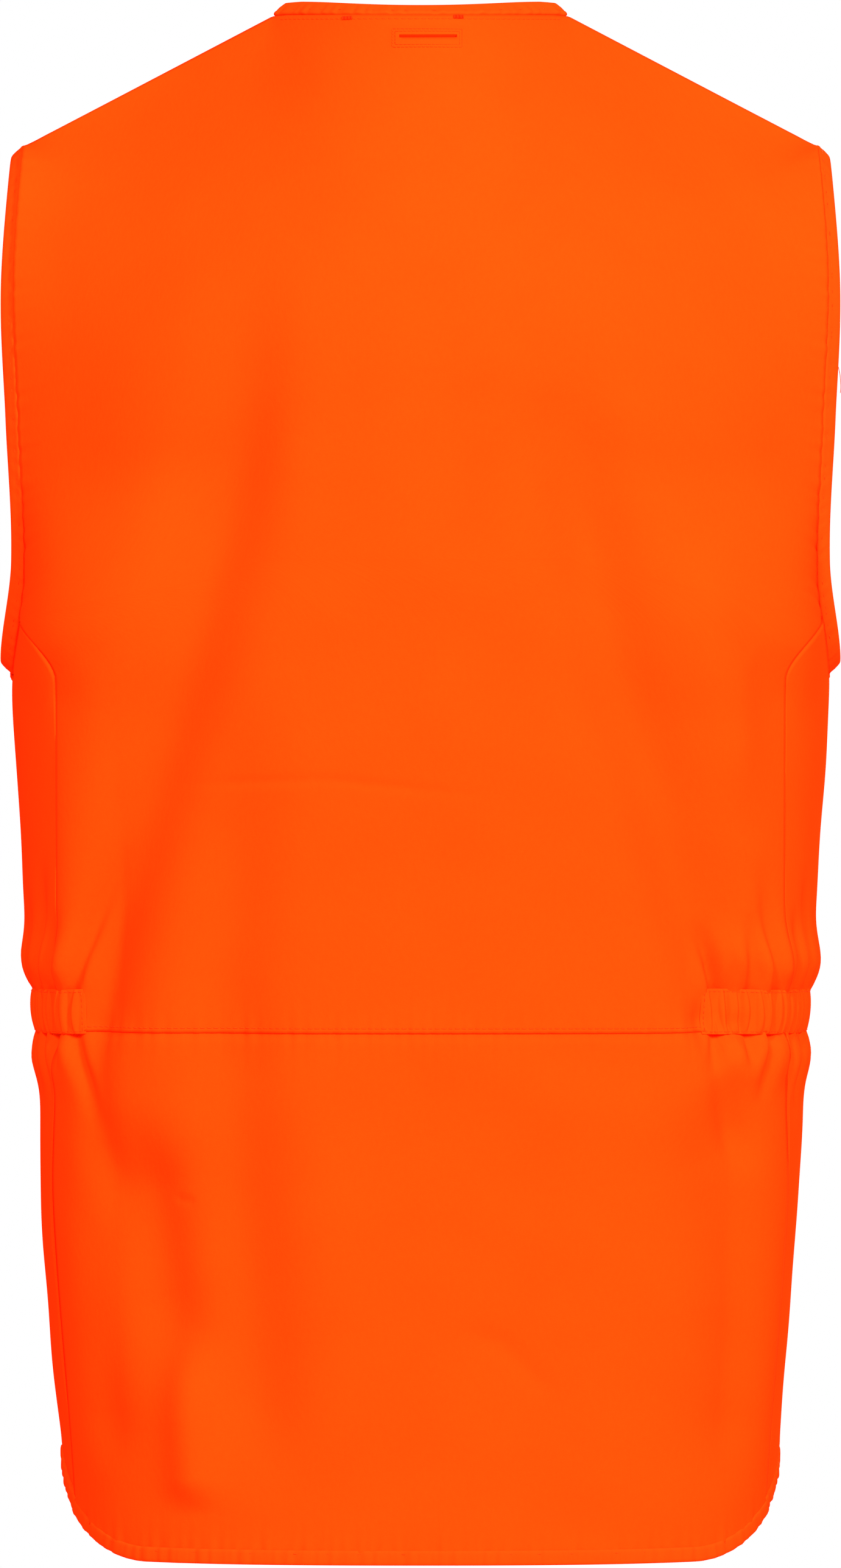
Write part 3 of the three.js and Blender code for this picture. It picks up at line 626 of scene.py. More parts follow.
def swept(name, path, across, out, section, side=1, closed=False):
    """A solid whose cross-section, in millimetres across and out, follows a path.
    section is (points, 2), or (path, points, 2) where it changes along the way."""
    section = np.broadcast_to(section, (len(path),) + np.shape(section)[-2:])
    ring = path[:, None] + across[:, None] * section[..., :1] + out[:, None] * section[..., 1:]
    count, corners = ring.shape[:2]
    vertices = ring.reshape(-1, 3)
    index = np.arange(count * corners).reshape(count, corners)
    following = np.roll(index, -1, axis=0) if closed else index[1:]
    current = index if closed else index[:-1]
    turned, ahead = np.roll(current, -1, axis=1), np.roll(following, -1, axis=1)
    quads = np.stack([current, turned, ahead, following], -1).reshape(-1, 4)
    groups = [quads]
    if not closed:
        groups.append(np.stack([index[0][::-1], index[-1]]))
    spread = np.broadcast_arrays(path_run(path)[:, None], path_run(section[0])[None, :])
    uv = np.stack(spread, -1).reshape(-1, 2) * MM
    return mesh_object(name, vertices, groups, uv, side=side)


def band_section(start, end, low, high, corners=20, squareness=0.55):
    """A rounded flat section from start to end across and from low to high out."""
    turn = np.linspace(0, 2 * np.pi, corners, endpoint=False)
    a = np.sign(np.cos(turn)) * np.abs(np.cos(turn)) ** squareness
    b = np.sign(np.sin(turn)) * np.abs(np.sin(turn)) ** squareness
    return np.stack([lerp(start, end, 0.5 + 0.5 * a), lerp(low, high, 0.5 + 0.5 * b)], 1)


def lathe(name, profile, centre, axis, side=1, count=48):
    """A turned solid: profile is (radius, height) from its bottom centre to its top centre."""
    axis = np.array(axis, float) / np.linalg.norm(axis)
    first = np.cross(axis, (0.0, 0.0, 1.0))
    first = unit(first)
    second = np.cross(axis, first)
    turns = np.linspace(0, 2 * np.pi, count, endpoint=False)
    profile = np.array(profile, float)
    ring = np.cos(turns)[:, None] * first + np.sin(turns)[:, None] * second
    vertices = np.array(centre) + profile[:, None, :1] * ring + profile[:, None, 1:] * axis
    levels = len(profile)
    index = np.arange(levels * count).reshape(levels, count)
    turned = np.roll(index, -1, axis=1)
    quads = np.stack([index[:-1], turned[:-1], turned[1:], index[1:]], -1).reshape(-1, 4)
    caps = np.stack([index[0][::-1], index[-1]])
    return mesh_object(name, vertices.reshape(-1, 3), [quads, caps], side=side)


# ---- materials ----

def noise(tree, vector, scale, detail=3.0, roughness=0.6):
    made = tree.nodes.new("ShaderNodeTexNoise")
    made.inputs["Scale"].default_value = scale
    made.inputs["Detail"].default_value = detail
    made.inputs["Roughness"].default_value = roughness
    tree.links.new(vector, made.inputs["Vector"])
    return made.outputs["Fac"]


def stretched(tree, vector, scale):
    made = tree.nodes.new("ShaderNodeMapping")
    made.inputs["Scale"].default_value = scale
    tree.links.new(vector, made.inputs["Vector"])
    return made.outputs["Vector"]


def tinted(tree, factor, dark, light, low=0.3, high=0.7):
    ramp = tree.nodes.new("ShaderNodeValToRGB")
    ramp.color_ramp.elements[0].position = low
    ramp.color_ramp.elements[0].color = (*dark, 1)
    ramp.color_ramp.elements[1].position = high
    ramp.color_ramp.elements[1].color = (*light, 1)
    tree.links.new(factor, ramp.inputs["Fac"])
    return ramp.outputs["Color"]


def mixed(tree, factor, first, second, blend="MIX"):
    made = tree.nodes.new("ShaderNodeMix")
    made.data_type = "RGBA"
    made.blend_type = blend
    colours = [socket for socket in made.inputs if socket.type == "RGBA"]
    if isinstance(factor, float):
        made.inputs[0].default_value = factor
    else:
        tree.links.new(factor, made.inputs[0])
    tree.links.new(first, colours[0])
    tree.links.new(second, colours[1])
    return next(socket for socket in made.outputs if socket.type == "RGBA")


def bump(tree, height, strength, distance, normal=None):
    made = tree.nodes.new("ShaderNodeBump")
    made.inputs["Strength"].default_value = strength
    made.inputs["Distance"].default_value = distance
    tree.links.new(height, made.inputs["Height"])
    if normal:
        tree.links.new(normal, made.inputs["Normal"])
    return made.outputs["Normal"]


def new_material(name, roughness, specular=0.3, metallic=0.0, sheen=0.0):
    material = bpy.data.materials.new(name)
    material.use_nodes = True
    tree = material.node_tree
    shader = tree.nodes["Principled BSDF"]
    shader.inputs["Roughness"].default_value = roughness
    shader.inputs["Specular IOR Level"].default_value = specular
    shader.inputs["Metallic"].default_value = metallic
    shader.inputs["Sheen Weight"].default_value = sheen
    shader.inputs["Sheen Roughness"].default_value = 0.5
    coordinates = tree.nodes.new("ShaderNodeTexCoord")
    return material, tree, shader, coordinates


def shaded(colour, level):
    return tuple(channel * level for channel in colour)


def brushed_cloth(name, colour, depth=0.5, nap=1.0):
    """Matt brushed cloth: a short nap over a fine knit, a little mottled, with faint broad rubbing."""
    material, tree, shader, coordinates = new_material(name, 0.95, 0.0, sheen=0.01)
    shader.inputs["Sheen Tint"].default_value = (1.0, 0.2, 0.03, 1)
    flat = coordinates.outputs["UV"]
    grain = noise(tree, flat, 1700 * nap, 3)
    mottle = noise(tree, stretched(tree, flat, (1.0, 0.6, 1.0)), 420 * nap, 4)
    rubbed = noise(tree, flat, 22, 2)
    fine = tinted(tree, grain, shaded(colour, 0.84), shaded(colour, 1.1))
    broad = tinted(tree, mottle, shaded(colour, 0.88), shaded(colour, 1.08))
    worn = tinted(tree, rubbed, shaded(colour, 0.96), shaded(colour, 1.04))
    base = mixed(tree, 0.5, mixed(tree, 0.5, fine, broad), worn)
    tree.links.new(base, shader.inputs["Base Color"])
    normal = bump(tree, mottle, 0.4 * depth, 0.0006)
    tree.links.new(bump(tree, grain, 0.5 * depth, 0.0002, normal), shader.inputs["Normal"])
    return material


def woven_tape(name, colour, pitch=0.0007, roughness=0.8):
    """Narrow woven tape, ribbed across its length."""
    material, tree, shader, coordinates = new_material(name, roughness, 0.01)
    flat = coordinates.outputs["UV"]
    wave = tree.nodes.new("ShaderNodeTexWave")
    wave.inputs["Scale"].default_value = 0.314 / pitch
    wave.inputs["Distortion"].default_value = 0.6
    wave.inputs["Detail"].default_value = 1
    tree.links.new(flat, wave.inputs["Vector"])
    grain = noise(tree, flat, 900, 2)
    ribs = tinted(tree, wave.outputs["Fac"], shaded(colour, 0.8), shaded(colour, 1.06), 0.1, 0.9)
    specks = tinted(tree, grain, shaded(colour, 0.9), shaded(colour, 1.06))
    tree.links.new(mixed(tree, 0.5, ribs, specks), shader.inputs["Base Color"])
    tree.links.new(bump(tree, wave.outputs["Fac"], 0.5, 0.0003), shader.inputs["Normal"])
    return material


def dull_metal(name, colour):
    """Plated metal with fine rubbing and slight tarnish."""
    material, tree, shader, coordinates = new_material(name, 0.36, 0.5, metallic=1.0)
    place = coordinates.outputs["Object"]
    tarnish = noise(tree, place, 160, 4)
    rubbing = noise(tree, stretched(tree, place, (1.0, 1.0, 0.15)), 2600, 2)
    base = tinted(tree, tarnish, shaded(colour, 0.72), shaded(colour, 1.1))
    tree.links.new(base, shader.inputs["Base Color"])
    spread = tree.nodes.new("ShaderNodeMapRange")
    spread.inputs["To Min"].default_value = 0.28
    spread.inputs["To Max"].default_value = 0.5
    tree.links.new(rubbing, spread.inputs["Value"])
    tree.links.new(spread.outputs["Result"], shader.inputs["Roughness"])
    tree.links.new(bump(tree, rubbing, 0.12, 0.0001), shader.inputs["Normal"])
    return material


def moulded_plastic(name, colour):
    material, tree, shader, coordinates = new_material(name, 0.42, 0.5)
    place = coordinates.outputs["Object"]
    grain = noise(tree, place, 1200, 2)
    speckled = tinted(tree, grain, shaded(colour, 0.8), shaded(colour, 1.25))
    tree.links.new(speckled, shader.inputs["Base Color"])
    tree.links.new(bump(tree, grain, 0.1, 0.0001), shader.inputs["Normal"])
    return material


BLAZE = (0.98, 0.0168, 0.0006)
MATERIALS = {
    "shell": brushed_cloth("shell_cloth", BLAZE),
    "lining": brushed_cloth("lining_cloth", shaded(BLAZE, 0.8), 0.4, 1.3),
    "binding": brushed_cloth("binding_cloth", (0.97, 0.0172, 0.0007), 0.35, 1.5),
    "elastic": woven_tape("elastic_band", (0.03, 0.03, 0.032), 0.0012),
    "zip_tape": woven_tape("zip_tape_weave", shaded(BLAZE, 0.85)),
    "zip_teeth": moulded_plastic("zip_plastic", (0.03, 0.03, 0.032)),
    "metal": dull_metal("plated_metal", (0.17, 0.165, 0.155)),
    "label": woven_tape("label_satin", (0.34, 0.33, 0.31), 0.0004, 0.5),
    "thread": woven_tape("orange_thread", (0.98, 0.0195, 0.0008), 0.0005, 0.9),
    # The bar tack thread is the cloth's orange darkened to 0.55: painted shade for the dark marks at the
    # tacks under the neck binding.
    "tack": woven_tape("bar_tack_thread_painted_shade", shaded(BLAZE, 0.55), 0.0005, 0.9),
}


def finish(piece, material, body, nodes=()):
    """Gives a piece its material, hangs it on the CAD body it moves with (a piece given a fold line instead
    is left where it is) and hides the CAD nodes it stands for.
    """
    piece.data.materials.append(MATERIALS[material])
    if isinstance(body, str):
        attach(piece, body)
    else:
        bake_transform(piece)
    if nodes:
        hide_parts(*nodes)
    return piece


def sew(name, lines, body, slot="shell", pitch=3.3, **sizes):
    """Rows of stitches as one piece."""
    finish(stitches(name, lines, pitch, **sizes), "thread", body)


def lay(panel, material, body, nodes, fullness=1.0):
    """Finishes a panel and works out how large its cloth is before it is sewn; the size is not kept."""
    finish(panel.piece, material, body, nodes)
    (width, length), area = panel.flat()
    flat = (width * fullness + 0.004, length + 0.004)
    area = min(area * fullness, flat[0] * flat[1])


# ---- back ----

SLOT_CENTRE = 3.4
SLOT_PATCH_WIDTH = 36.0
SLOT_PATCH_HEIGHT = 11.0
SLOT_TOP = -9.9
SLOT_WIDTH = 29.0
SLOT_HEIGHT = 1.6
SLOT_LEVEL = -15.0
LINER_DEPTH = 9.0
INNER_GAP = 1.8  # clearance behind the shell


def upper_back_points(columns, rows):
    u, v = grid(columns, rows)
    side = 2 * u - 1
    z = lerp(back_top_level(side * SHOULDER_HALF), WAIST + 0.2, v)
    edge = np.where(z > SEAM_MEETING, half_width(z), side_seam_x(z)) + 0.3
    return back_point(side * edge, z)


def patch_share(x, z):
    """One inside the stitched patch round the slot at the neck, nothing outside it."""
    across = np.abs(x - SLOT_CENTRE) - SLOT_PATCH_WIDTH / 2
    down = np.abs(z - SLOT_TOP + SLOT_PATCH_HEIGHT / 2) - SLOT_PATCH_HEIGHT / 2
    return smooth(0.9, -0.5, np.maximum(across, down))


def slot_cells(points):
    """Which cells of a grid lie in the slot at the neck."""
    x = 0.5 * (points[:-1, :-1, 0] + points[1:, 1:, 0])
    z = 0.5 * (points[:-1, :-1, 2] + points[1:, 1:, 2])
    return (np.abs(x - SLOT_CENTRE) < SLOT_WIDTH / 2) & (np.abs(z - SLOT_LEVEL) < SLOT_HEIGHT / 2)


def build_upper_back():
    points = upper_back_points(264, 330)
    x, z = points[..., 0], points[..., 2]
    below_top = np.clip((back_top_level(x) - z) / 30, 0, 1)
    relief = back_relief(points) * smooth(0, 1, below_top) + 0.4 * patch_share(x, z)
    armhole_gap = np.where(z > SEAM_MEETING, half_width(z) - np.abs(x), 99)
    armhole_run = np.hypot(points[..., 1], z)
    relief += 0.4 * ripple(armhole_run, 9, 17) * np.exp(-armhole_gap / 5)
    panel = Panel("back_upper_cloth", points, relief, cells=~slot_cells(points), crisp=True)
    lay(panel, "shell", "root", ["back_upper_panel"])
    sew_slot_patch()
    waist_row = row_line(panel, 1 - 2.4 / 500, 0.004, 0.996, 900)
    neck_start = 0.51 - NECK_HALF / SHOULDER_HALF / 2
    neck_seam = row_line(panel, 2.2 / 500, neck_start, 1 - neck_start, 200)
    sew("waist_topstitch", [waist_row, neck_seam], "root")


def sew_slot_patch():
    """Two rows of stitches round the slot."""
    lines = []
    t = np.linspace(0, 1, 30)
    for inset in (0.8, 2.0):
        across, down = SLOT_PATCH_WIDTH / 2 - inset, SLOT_PATCH_HEIGHT - inset
        corners = [(-across, -inset), (across, -inset), (across, -down), (-across, -down)]
        for a, b in zip(corners, corners[1:] + corners[:1]):
            seam = back_point(SLOT_CENTRE + lerp(a[0], b[0], t), SLOT_TOP + lerp(a[1], b[1], t))
            lines.append((seam + (0, -0.42, 0.2), np.tile((0.0, -0.85, 0.5), (len(t), 1))))
    sew("neck_slot_stitches", lines, "root", pitch=2.0, length=1.7, width=0.34)


def lower_back_points(columns, rows):
    u, v = grid(columns, rows)
    side = 2 * u - 1
    hem = hem_level(side * side_seam_x(SIDE_HEM), BACK_HEM)
    z = lerp(WAIST + 4, hem + HEM_BINDING_HEIGHT - 2.5, v)
    return back_point(side * (side_seam_x(z) + SEAM_LAP), z)


def build_lower_back():
    points = lower_back_points(252, 165)
    relief = back_relief(points) - 0.7 * smooth(WAIST - 5, WAIST - 0.5, points[..., 2])
    panel = Panel("back_lower_cloth", points, relief, crisp=True)
    lay(panel, "shell", "root", ["back_lower_panel"])


def build_liner():
    u, v = grid(60, 44)
    points = back_point((2 * u - 1) * 150, lerp(WAIST - 14, BACK_HEM + 24, v))
    panel = Panel("game_pocket_lining", points, back_folds(points) - CLOTH - LINER_DEPTH, THIN_CLOTH)
    lay(panel, "lining", "root", ["game_pocket_liner"])


def build_slot_facing():
    u, v = grid(30, 12)
    points = back_point(SLOT_CENTRE + (u - 0.5) * SLOT_PATCH_WIDTH, SLOT_TOP - v * SLOT_PATCH_HEIGHT)
    panel = Panel("neck_slot_backing", points, -CLOTH - INNER_GAP, THIN_CLOTH, ~slot_cells(points))
    lay(panel, "lining", "root", ["neck_slot_facing"])


# ---- fronts and sides: one piece of cloth on each side, from the back seam to the zip ----

def fold_plane(side):
    """The line across a front where its cloth would leave the root and turn with the front, given as those
    two bodies' names and the line's ends in metres; nothing here turns the cloth.
    """
    low = np.array((150.0, 100.0, FRONT_HEM))
    high = np.array((78.0, 100.0, -20.0))
    run = (low - high) / np.linalg.norm(low - high)
    towards_zip = np.cross(run, (0.0, 1.0, 0.0))
    towards_zip *= -np.sign(towards_zip[0]) / np.linalg.norm(towards_zip)
    start = high + run * 300
    end = start + towards_zip * 34
    flip = np.array((side, 1, 1))
    name = "right_front" if side > 0 else "left_front"
    return ("root", name, tuple(start * flip * MM), tuple(end * flip * MM))


def front_points(under_columns, across_columns, upper_rows, lower_rows):
    """The whole front as one grid: the cells over the underarm columns and upper rows are not there."""
    columns = under_columns + across_columns
    s = np.linspace(0, 1, across_columns + 1)
    # Upper rows: from the shoulder seam down to the level where the armhole's front edge is met.
    v = np.linspace(0, 1, upper_rows + 1)[:, None]
    inner = lerp(-0.6, SEAM_MEETING, v)
    outer = lerp(ARMHOLE_TOP - 0.6, SEAM_MEETING, v)
    inner_x = np.maximum(neckline(inner), PANEL_EDGE)
    upper = front_point(lerp(front_edge_x(outer) - 0.4, inner_x, s), lerp(outer, inner, s))
    # The top edge of the lower rows: under the arm it follows the armhole, then the last upper row.
    start_turn = math.acos(np.clip((ARMHOLE_TOP - SEAM_MEETING) / ARMHOLE_DEPTH * 2 - 1, -1, 1))
    turn = np.linspace(-start_turn, start_turn, under_columns + 1)[:-1]
    level = lerp(ARMHOLE_TOP, ARMHOLE_BOTTOM, 0.5 + 0.5 * np.cos(turn))
    back = turn < 0
    front_depths = armhole_edge(level, ARMHOLE_FRONT_DEPTH)
    depth = np.where(back, -armhole_edge(level, ARMHOLE_BACK_DEPTH), front_depths)
    edge_x = np.where(back, half_width(level), front_edge_x(level))
    top = np.concatenate([np.stack([edge_x, depth, level], -1), upper[-1]])
    # The rows from there to the hem, spread by angle as the top edge is.
    w = np.linspace(0, 1, lower_rows + 1)[:, None]
    u = np.linspace(0, 1, columns + 1)[None, :]
    seam_low = ring_angle(back_point(side_seam_x(SIDE_HEM) + SEAM_LAP, SIDE_HEM))
    edge_low = ring_angle(front_point(PANEL_EDGE, SIDE_HEM))
    top_angle = ring_angle(top)[None, :]
    spread = (top_angle - top_angle[0, 0]) / (top_angle[0, -1] - top_angle[0, 0])
    low = ring_point(lerp(seam_low, edge_low, spread), np.full_like(spread, SIDE_HEM))
    middle = np.where(low[..., 1] < 0, BACK_HEM, FRONT_HEM)
    hem = hem_level(low[..., 0], middle) + HEM_BINDING_HEIGHT - 2.5
    z = lerp(top[None, :, 2], hem, w)
    seam = back_point(side_seam_x(z[:, :1]) + SEAM_LAP, z[:, :1])
    zip_edge = ring_angle(front_point(PANEL_EDGE, z[:, -1:]))
    lower = ring_point(lerp(ring_angle(seam), zip_edge, spread), z)
    # Near the top edge and the side seam the rows are drawn onto those lines.
    fade_down = ((1 - np.clip((top[None, :, 2] - z) / 90, 0, 1)) ** 2)[..., None]
    fade_across = ((1 - np.clip(u / 0.16, 0, 1)) ** 2)[..., None]
    top_error = (top - lower[0])[None]
    seam_error = seam - lower[:, :1] - top_error[:, :1] * fade_down[:, :1]
    lower = lower + top_error * fade_down + seam_error * fade_across
    filler = np.repeat(upper[:, :1], under_columns, axis=1)
    full_upper = np.concatenate([filler, upper], axis=1)
    points = np.concatenate([full_upper[:-1], lower])
    cells = np.ones((len(points) - 1, columns), bool)
    cells[:upper_rows, :under_columns] = False
    return points, cells


def build_front(side):
    word = SIDE_WORDS[side]
    under, across, upper_rows, lower_rows = 44, 76, 104, 150
    points, cells = front_points(under, across, upper_rows, lower_rows)
    x, z = points[..., 0], points[..., 2]
    inner, seed = CASINGS[side]
    run = waist_run(points)
    relief = gathers(run, z, inner, seed)
    relief[:upper_rows, :under] = 0
    relief += ripple(run, 9.5, 3) * 0.45 * np.exp(-np.abs(z - WAIST) / 7) * smooth(400, 380, run)
    soft = 0.8 * ripple(x * 0.9 + 0.25 * z, 88, 13 + side) + 0.7 * ripple(z + 0.4 * x, 120, 33 + side)
    relief += soft * smooth(-30, -120, z) * smooth(PANEL_EDGE, PANEL_EDGE + 40, x)
    hem_bumps = np.exp(-np.abs(z - hem_level(x, FRONT_HEM) - HEM_BINDING_HEIGHT) / 6)
    relief += 0.4 * ripple(run, 8.0, 8) * hem_bumps
    panel = Panel(f"{word}_front_cloth", points, relief, cells=cells, side=side, crisp=True)
    nodes = [f"{word}_front_panel", f"{word}_front_shoulder", f"{word}_side_panel"]
    lay(panel, "shell", fold_plane(side), nodes)
    # Topstitching down the zip edge on the part that folds.
    zip_line = column_line(panel, 1 - 5.0 / 330, 0.88 * upper_rows / (upper_rows + lower_rows), 0.995, 700)
    sew(f"{word}_zip_topstitch", [zip_line], f"{word}_front")
    return panel


# ---- bindings ----

def armhole_path(count):
    """Points round the armhole's seam, with the directions across the binding and out of it."""
    turn = np.linspace(0, 2 * np.pi, count, endpoint=False)
    level = lerp(ARMHOLE_TOP, ARMHOLE_BOTTOM, 0.5 - 0.5 * np.cos(turn))
    back = turn < np.pi
    x = np.where(back, half_width(level), front_edge_x(level))
    depth = np.where(back, -ARMHOLE_BACK_DEPTH, ARMHOLE_FRONT_DEPTH)
    seam = np.stack([x, depth * np.abs(np.sin(turn)) ** (2 / 2.4), level], -1)
    centre = np.array((SHOULDER_HALF, 0.0, (ARMHOLE_TOP + ARMHOLE_BOTTOM) / 2))
    inward = (centre - seam) * (0, 1, 1)
    inward = unit(inward, GUARD)
    across = inward + (1, 0, 0)
    across = unit(across)
    forward = np.roll(seam, -1, axis=0) - np.roll(seam, 1, axis=0)
    forward = unit(forward)
    out = np.cross(forward, across)
    out = unit(out)
    facing_out = (out * -inward).sum(1)
    out *= np.sign(facing_out)[:, None]
    return seam, across, out


def waving_section(run, start, end, seed, amount=0.35):
    """A binding's section at each step, with puckers along it and a groove where it is topstitched."""
    base = band_section(start, end, BINDING_LOW, BINDING_HIGH, 24)
    outer_side = base[:, 1] > (BINDING_LOW + BINDING_HIGH) / 2
    puckered = outer_side & (base[:, 0] < start + 6)
    section = np.repeat(base[None], len(run), axis=0)
    section[..., 1] += np.where(puckered, amount, 0) * ripple(run, 7.5, seed)[:, None]
    from_groove = np.abs(base[:, 0] - start - BINDING_STITCH)
    section[..., 1] -= 0.45 * np.exp(-(from_groove**2)) * outer_side
    return section


def bind(name, path, across, out, section, stitch_at, body, nodes, side=1, closed=False):
    """A binding swept along its seam, with one row of topstitching stitch_at millimetres from it."""
    finish(swept(f"{name}_tape", path, across, out, section, side, closed), "binding", body, nodes)
    if closed:
        path, across, out = (np.concatenate([line, line[:1]]) for line in (path, across, out))
    flip = np.array((side, 1, 1))
    line = (path + across * stitch_at + out * STITCH_LIFT) * flip
    sew(f"{name}_topstitch", [(line, out * flip)], body, "binding")


def build_armhole_binding(side):
    word = SIDE_WORDS[side]
    path, across, out = armhole_path(520)
    section = waving_section(path_run(path), 0.2, ARMHOLE_BINDING_WIDTH, 40 + side, 0.2)
    nodes = [f"{word}_armhole_binding"]
    bind(f"{word}_armhole", path, across, out, section[:, ::-1], BINDING_STITCH, "root", nodes, side, True)


def build_back_neck_binding():
    side = np.linspace(-1, 1, 180)
    seam = back_point(side * NECK_HALF, back_top_level(side * NECK_HALF))
    rise = unit(np.stack([-0.72 * side, 0.85 * (1 - side * side), 0.5 + 0.15 * side * side], -1))
    out = unit(np.cross(rise, unit(np.gradient(seam, axis=0))))
    out *= np.sign(out[:, 2:] - out[:, 1:2])
    section = waving_section(path_run(seam), 0.9, NECK_BINDING_WIDTH, 51)
    bind("back_neck", seam, rise, out, section, 4.0, "root", ["back_neck_binding"])


def build_front_neck_binding(side):
    word = SIDE_WORDS[side]
    level = np.linspace(-1.5, -FRONT_NECK_DROP + 14, 160)
    neck_run = math.hypot(NECK_HALF - PANEL_EDGE, FRONT_NECK_DROP)
    inward, upward = -FRONT_NECK_DROP / neck_run, (NECK_HALF - PANEL_EDGE) / neck_run
    seam = front_point(neckline(level), level)
    across = unit(front_point(neckline(level) + inward * 9, level + upward * 9) - seam)
    out = unit(np.cross(across, unit(np.gradient(seam, axis=0))))
    out *= np.sign(out[:, 1:2])
    section = waving_section(path_run(seam), 0.2, NECK_BINDING_WIDTH, 60 + side)
    nodes = [f"{word}_neck_binding", f"{word}_front_neck_binding"]
    bind(f"{word}_neck", seam, across, out, section, BINDING_STITCH, fold_plane(side), nodes, side)


def hem_frame(path):
    """Directions up the hem binding and out of it, along a path that runs to the right."""
    forward = np.gradient(path, axis=0)
    forward = unit(forward)
    out = np.stack([forward[:, 1], -forward[:, 0], np.zeros(len(path))], -1)
    out = unit(out)
    up = np.cross(out, forward)
    up *= np.sign(up[:, 2:])
    return unit(up), out


def build_back_hem():
    x = np.linspace(-1, 1, 420) * (side_seam_x(SIDE_HEM) - SEAM_LAP)
    path = back_point(x, hem_level(x, BACK_HEM))
    up, out = hem_frame(path)
    section = waving_section(path_run(path), HEM_BINDING_HEIGHT, 0.0, 71)
    join = np.exp(-(((x - HEM_JOIN_X) / 2.2) ** 2))[:, None]
    section[..., 1] += 0.5 * join * np.sign(section[..., 1] + 0.8)
    bind("back_hem", path, up, out, section[:, ::-1], HEM_STITCH, "root", ["back_hem_binding"])


def build_front_hem(side):
    word = SIDE_WORDS[side]
    seam = ring_angle(back_point(side_seam_x(SIDE_HEM) + SEAM_LAP, SIDE_HEM))
    angle = np.linspace(seam, ring_angle(front_point(PANEL_EDGE, FRONT_HEM)), 420)
    level_ring = ring_point(angle, np.full(420, SIDE_HEM))
    level = hem_level(level_ring[:, 0], np.where(level_ring[:, 1] < 0, BACK_HEM, FRONT_HEM))
    path = ring_point(angle, level)
    up, out = hem_frame(path)
    section = waving_section(path_run(path), HEM_BINDING_HEIGHT, 0.0, 80 + side)
    nodes = [f"{word}_side_hem_binding", f"{word}_front_hem_binding"]
    bind(f"{word}_hem", path, up, out, section[:, ::-1], HEM_STITCH, fold_plane(side), nodes, side)


# ---- waist elastic ----

def build_casing(side):
    """The gathered channel and, inside it, the elastic."""
    word = SIDE_WORDS[side]
    inner, seed = CASINGS[side]
    start, end = casing_ends(inner)
    flip = np.array((side, 1, 1))
    u, v = grid(640, 40)
    points = ring_point(lerp(start, end, u), CASING_TOP - 0.3 - v * CASING_HEIGHT)
    run = ARC * lerp(start, end, u)
    belly = np.sin(np.pi * v)
    relief = 0.7 + 2.2 * belly**0.55
    for at, lean, width, depth, _, _ in pleats(inner, seed):
        centre = at + lean * 4 * (0.5 - v) + 0.8 * math.sin(at) * belly
        relief -= (0.55 * depth + 0.7) * np.exp(-(((run - centre) / (0.42 * width + 0.3)) ** 2))
    edge = np.exp(-np.minimum(v, 1 - v) * 8)
    relief = np.maximum(relief + 0.6 * ripple(run, 3.4, seed) * edge, 0.62)
    relief = lerp(0.55, relief, smooth(0, 9, run - ARC * start)) + back_folds(points * flip)
    casing = Panel(f"{word}_gathered_casing", points, relief, 0.6, side=side)
    lay(casing, "shell", "root", [f"{word}_elastic_casing"], fullness=1.35)
    lines = [row_line(casing, row, 0.005, 0.995, 1200) for row in (0.06, 0.94)]
    lines.append(column_line(casing, 0.008, 0.05, 0.95, 60))
    sew(f"{word}_casing_stitches", lines, "root", pitch=2.7, length=1.9, width=0.4)
    u, v = grid(240, 8)
    start, end = casing_ends(inner + 3)
    band = ring_point(lerp(start, end, u), CASING_MIDDLE + ELASTIC_HEIGHT * (0.5 - v))
    ribs = 0.06 * np.sin(ARC * lerp(start, end, u) * 3) + back_folds(band * flip)
    elastic = Panel(f"{word}_elastic_band", band, ribs, 0.8, side=side)
    lay(elastic, "elastic", "root", [f"{word}_waist_elastic"])


# ---- back neck trim ----

def build_neck_trim():
    left, right, top, height, reach = -36.6, 18.9, -3.0, 6.0, 16.0
    u, v = grid(90, 10)
    x = lerp(left, right, u)
    base = back_point(x, top)[..., 1] + CLOTH + 0.8
    twist = 0.5 * np.sin(2 * np.pi * u)
    y = base + CLOTH + reach * np.sin(np.pi * u) ** 0.8 + twist * (v - 0.5) * 2
    points = np.stack([x, y, top - v * height], -1)
    loop = Panel("hanger_ribbon", points, 0.12 * np.sin(v * np.pi), THIN_CLOTH)
    lay(loop, "lining", "root", ["hanger_loop"])
    for word, x in (("left", left), ("right", right)):
        lines = []
        for k in range(7):
            across = x + (k - 3) * 0.72
            level = np.linspace(top - 0.2, top - 2.4, 6)
            spot = back_point(np.full(6, across), level)
            lines.append((spot + (0, -0.35, 0.25), np.tile((0.0, -0.7, 0.7), (6, 1))))
        # The tacks take the darkened thread, which is painted shade at the foot of the neck binding.
        tack = stitches(f"hanger_tack_threads_{word}", lines, 9, length=2.7, width=0.75, height=0.8)
        finish(tack, "tack", "root", [f"hanger_tack_{word}"])
    u, v = grid(20, 24)
    points = back_point(SLOT_CENTRE + (u - 0.5) * 26, -30 - v * 32)
    label = Panel("size_tab", points, -CLOTH - 1.8 - 0.3 * np.sin(np.pi * u), 0.6)
    lay(label, "label", "root", ["size_label"])


# ---- zip ----

ZIP_LEAN = math.atan2(136 - 128, -FRONT_NECK_DROP - FRONT_HEM)
ZIP_TOP, ZIP_BOTTOM = -227.0, -726.0
TEETH_INSET, TEETH_THICKNESS, TEETH_WIDTH, TEETH_GAP = 1.2, 3.2, 2.4, 1.6


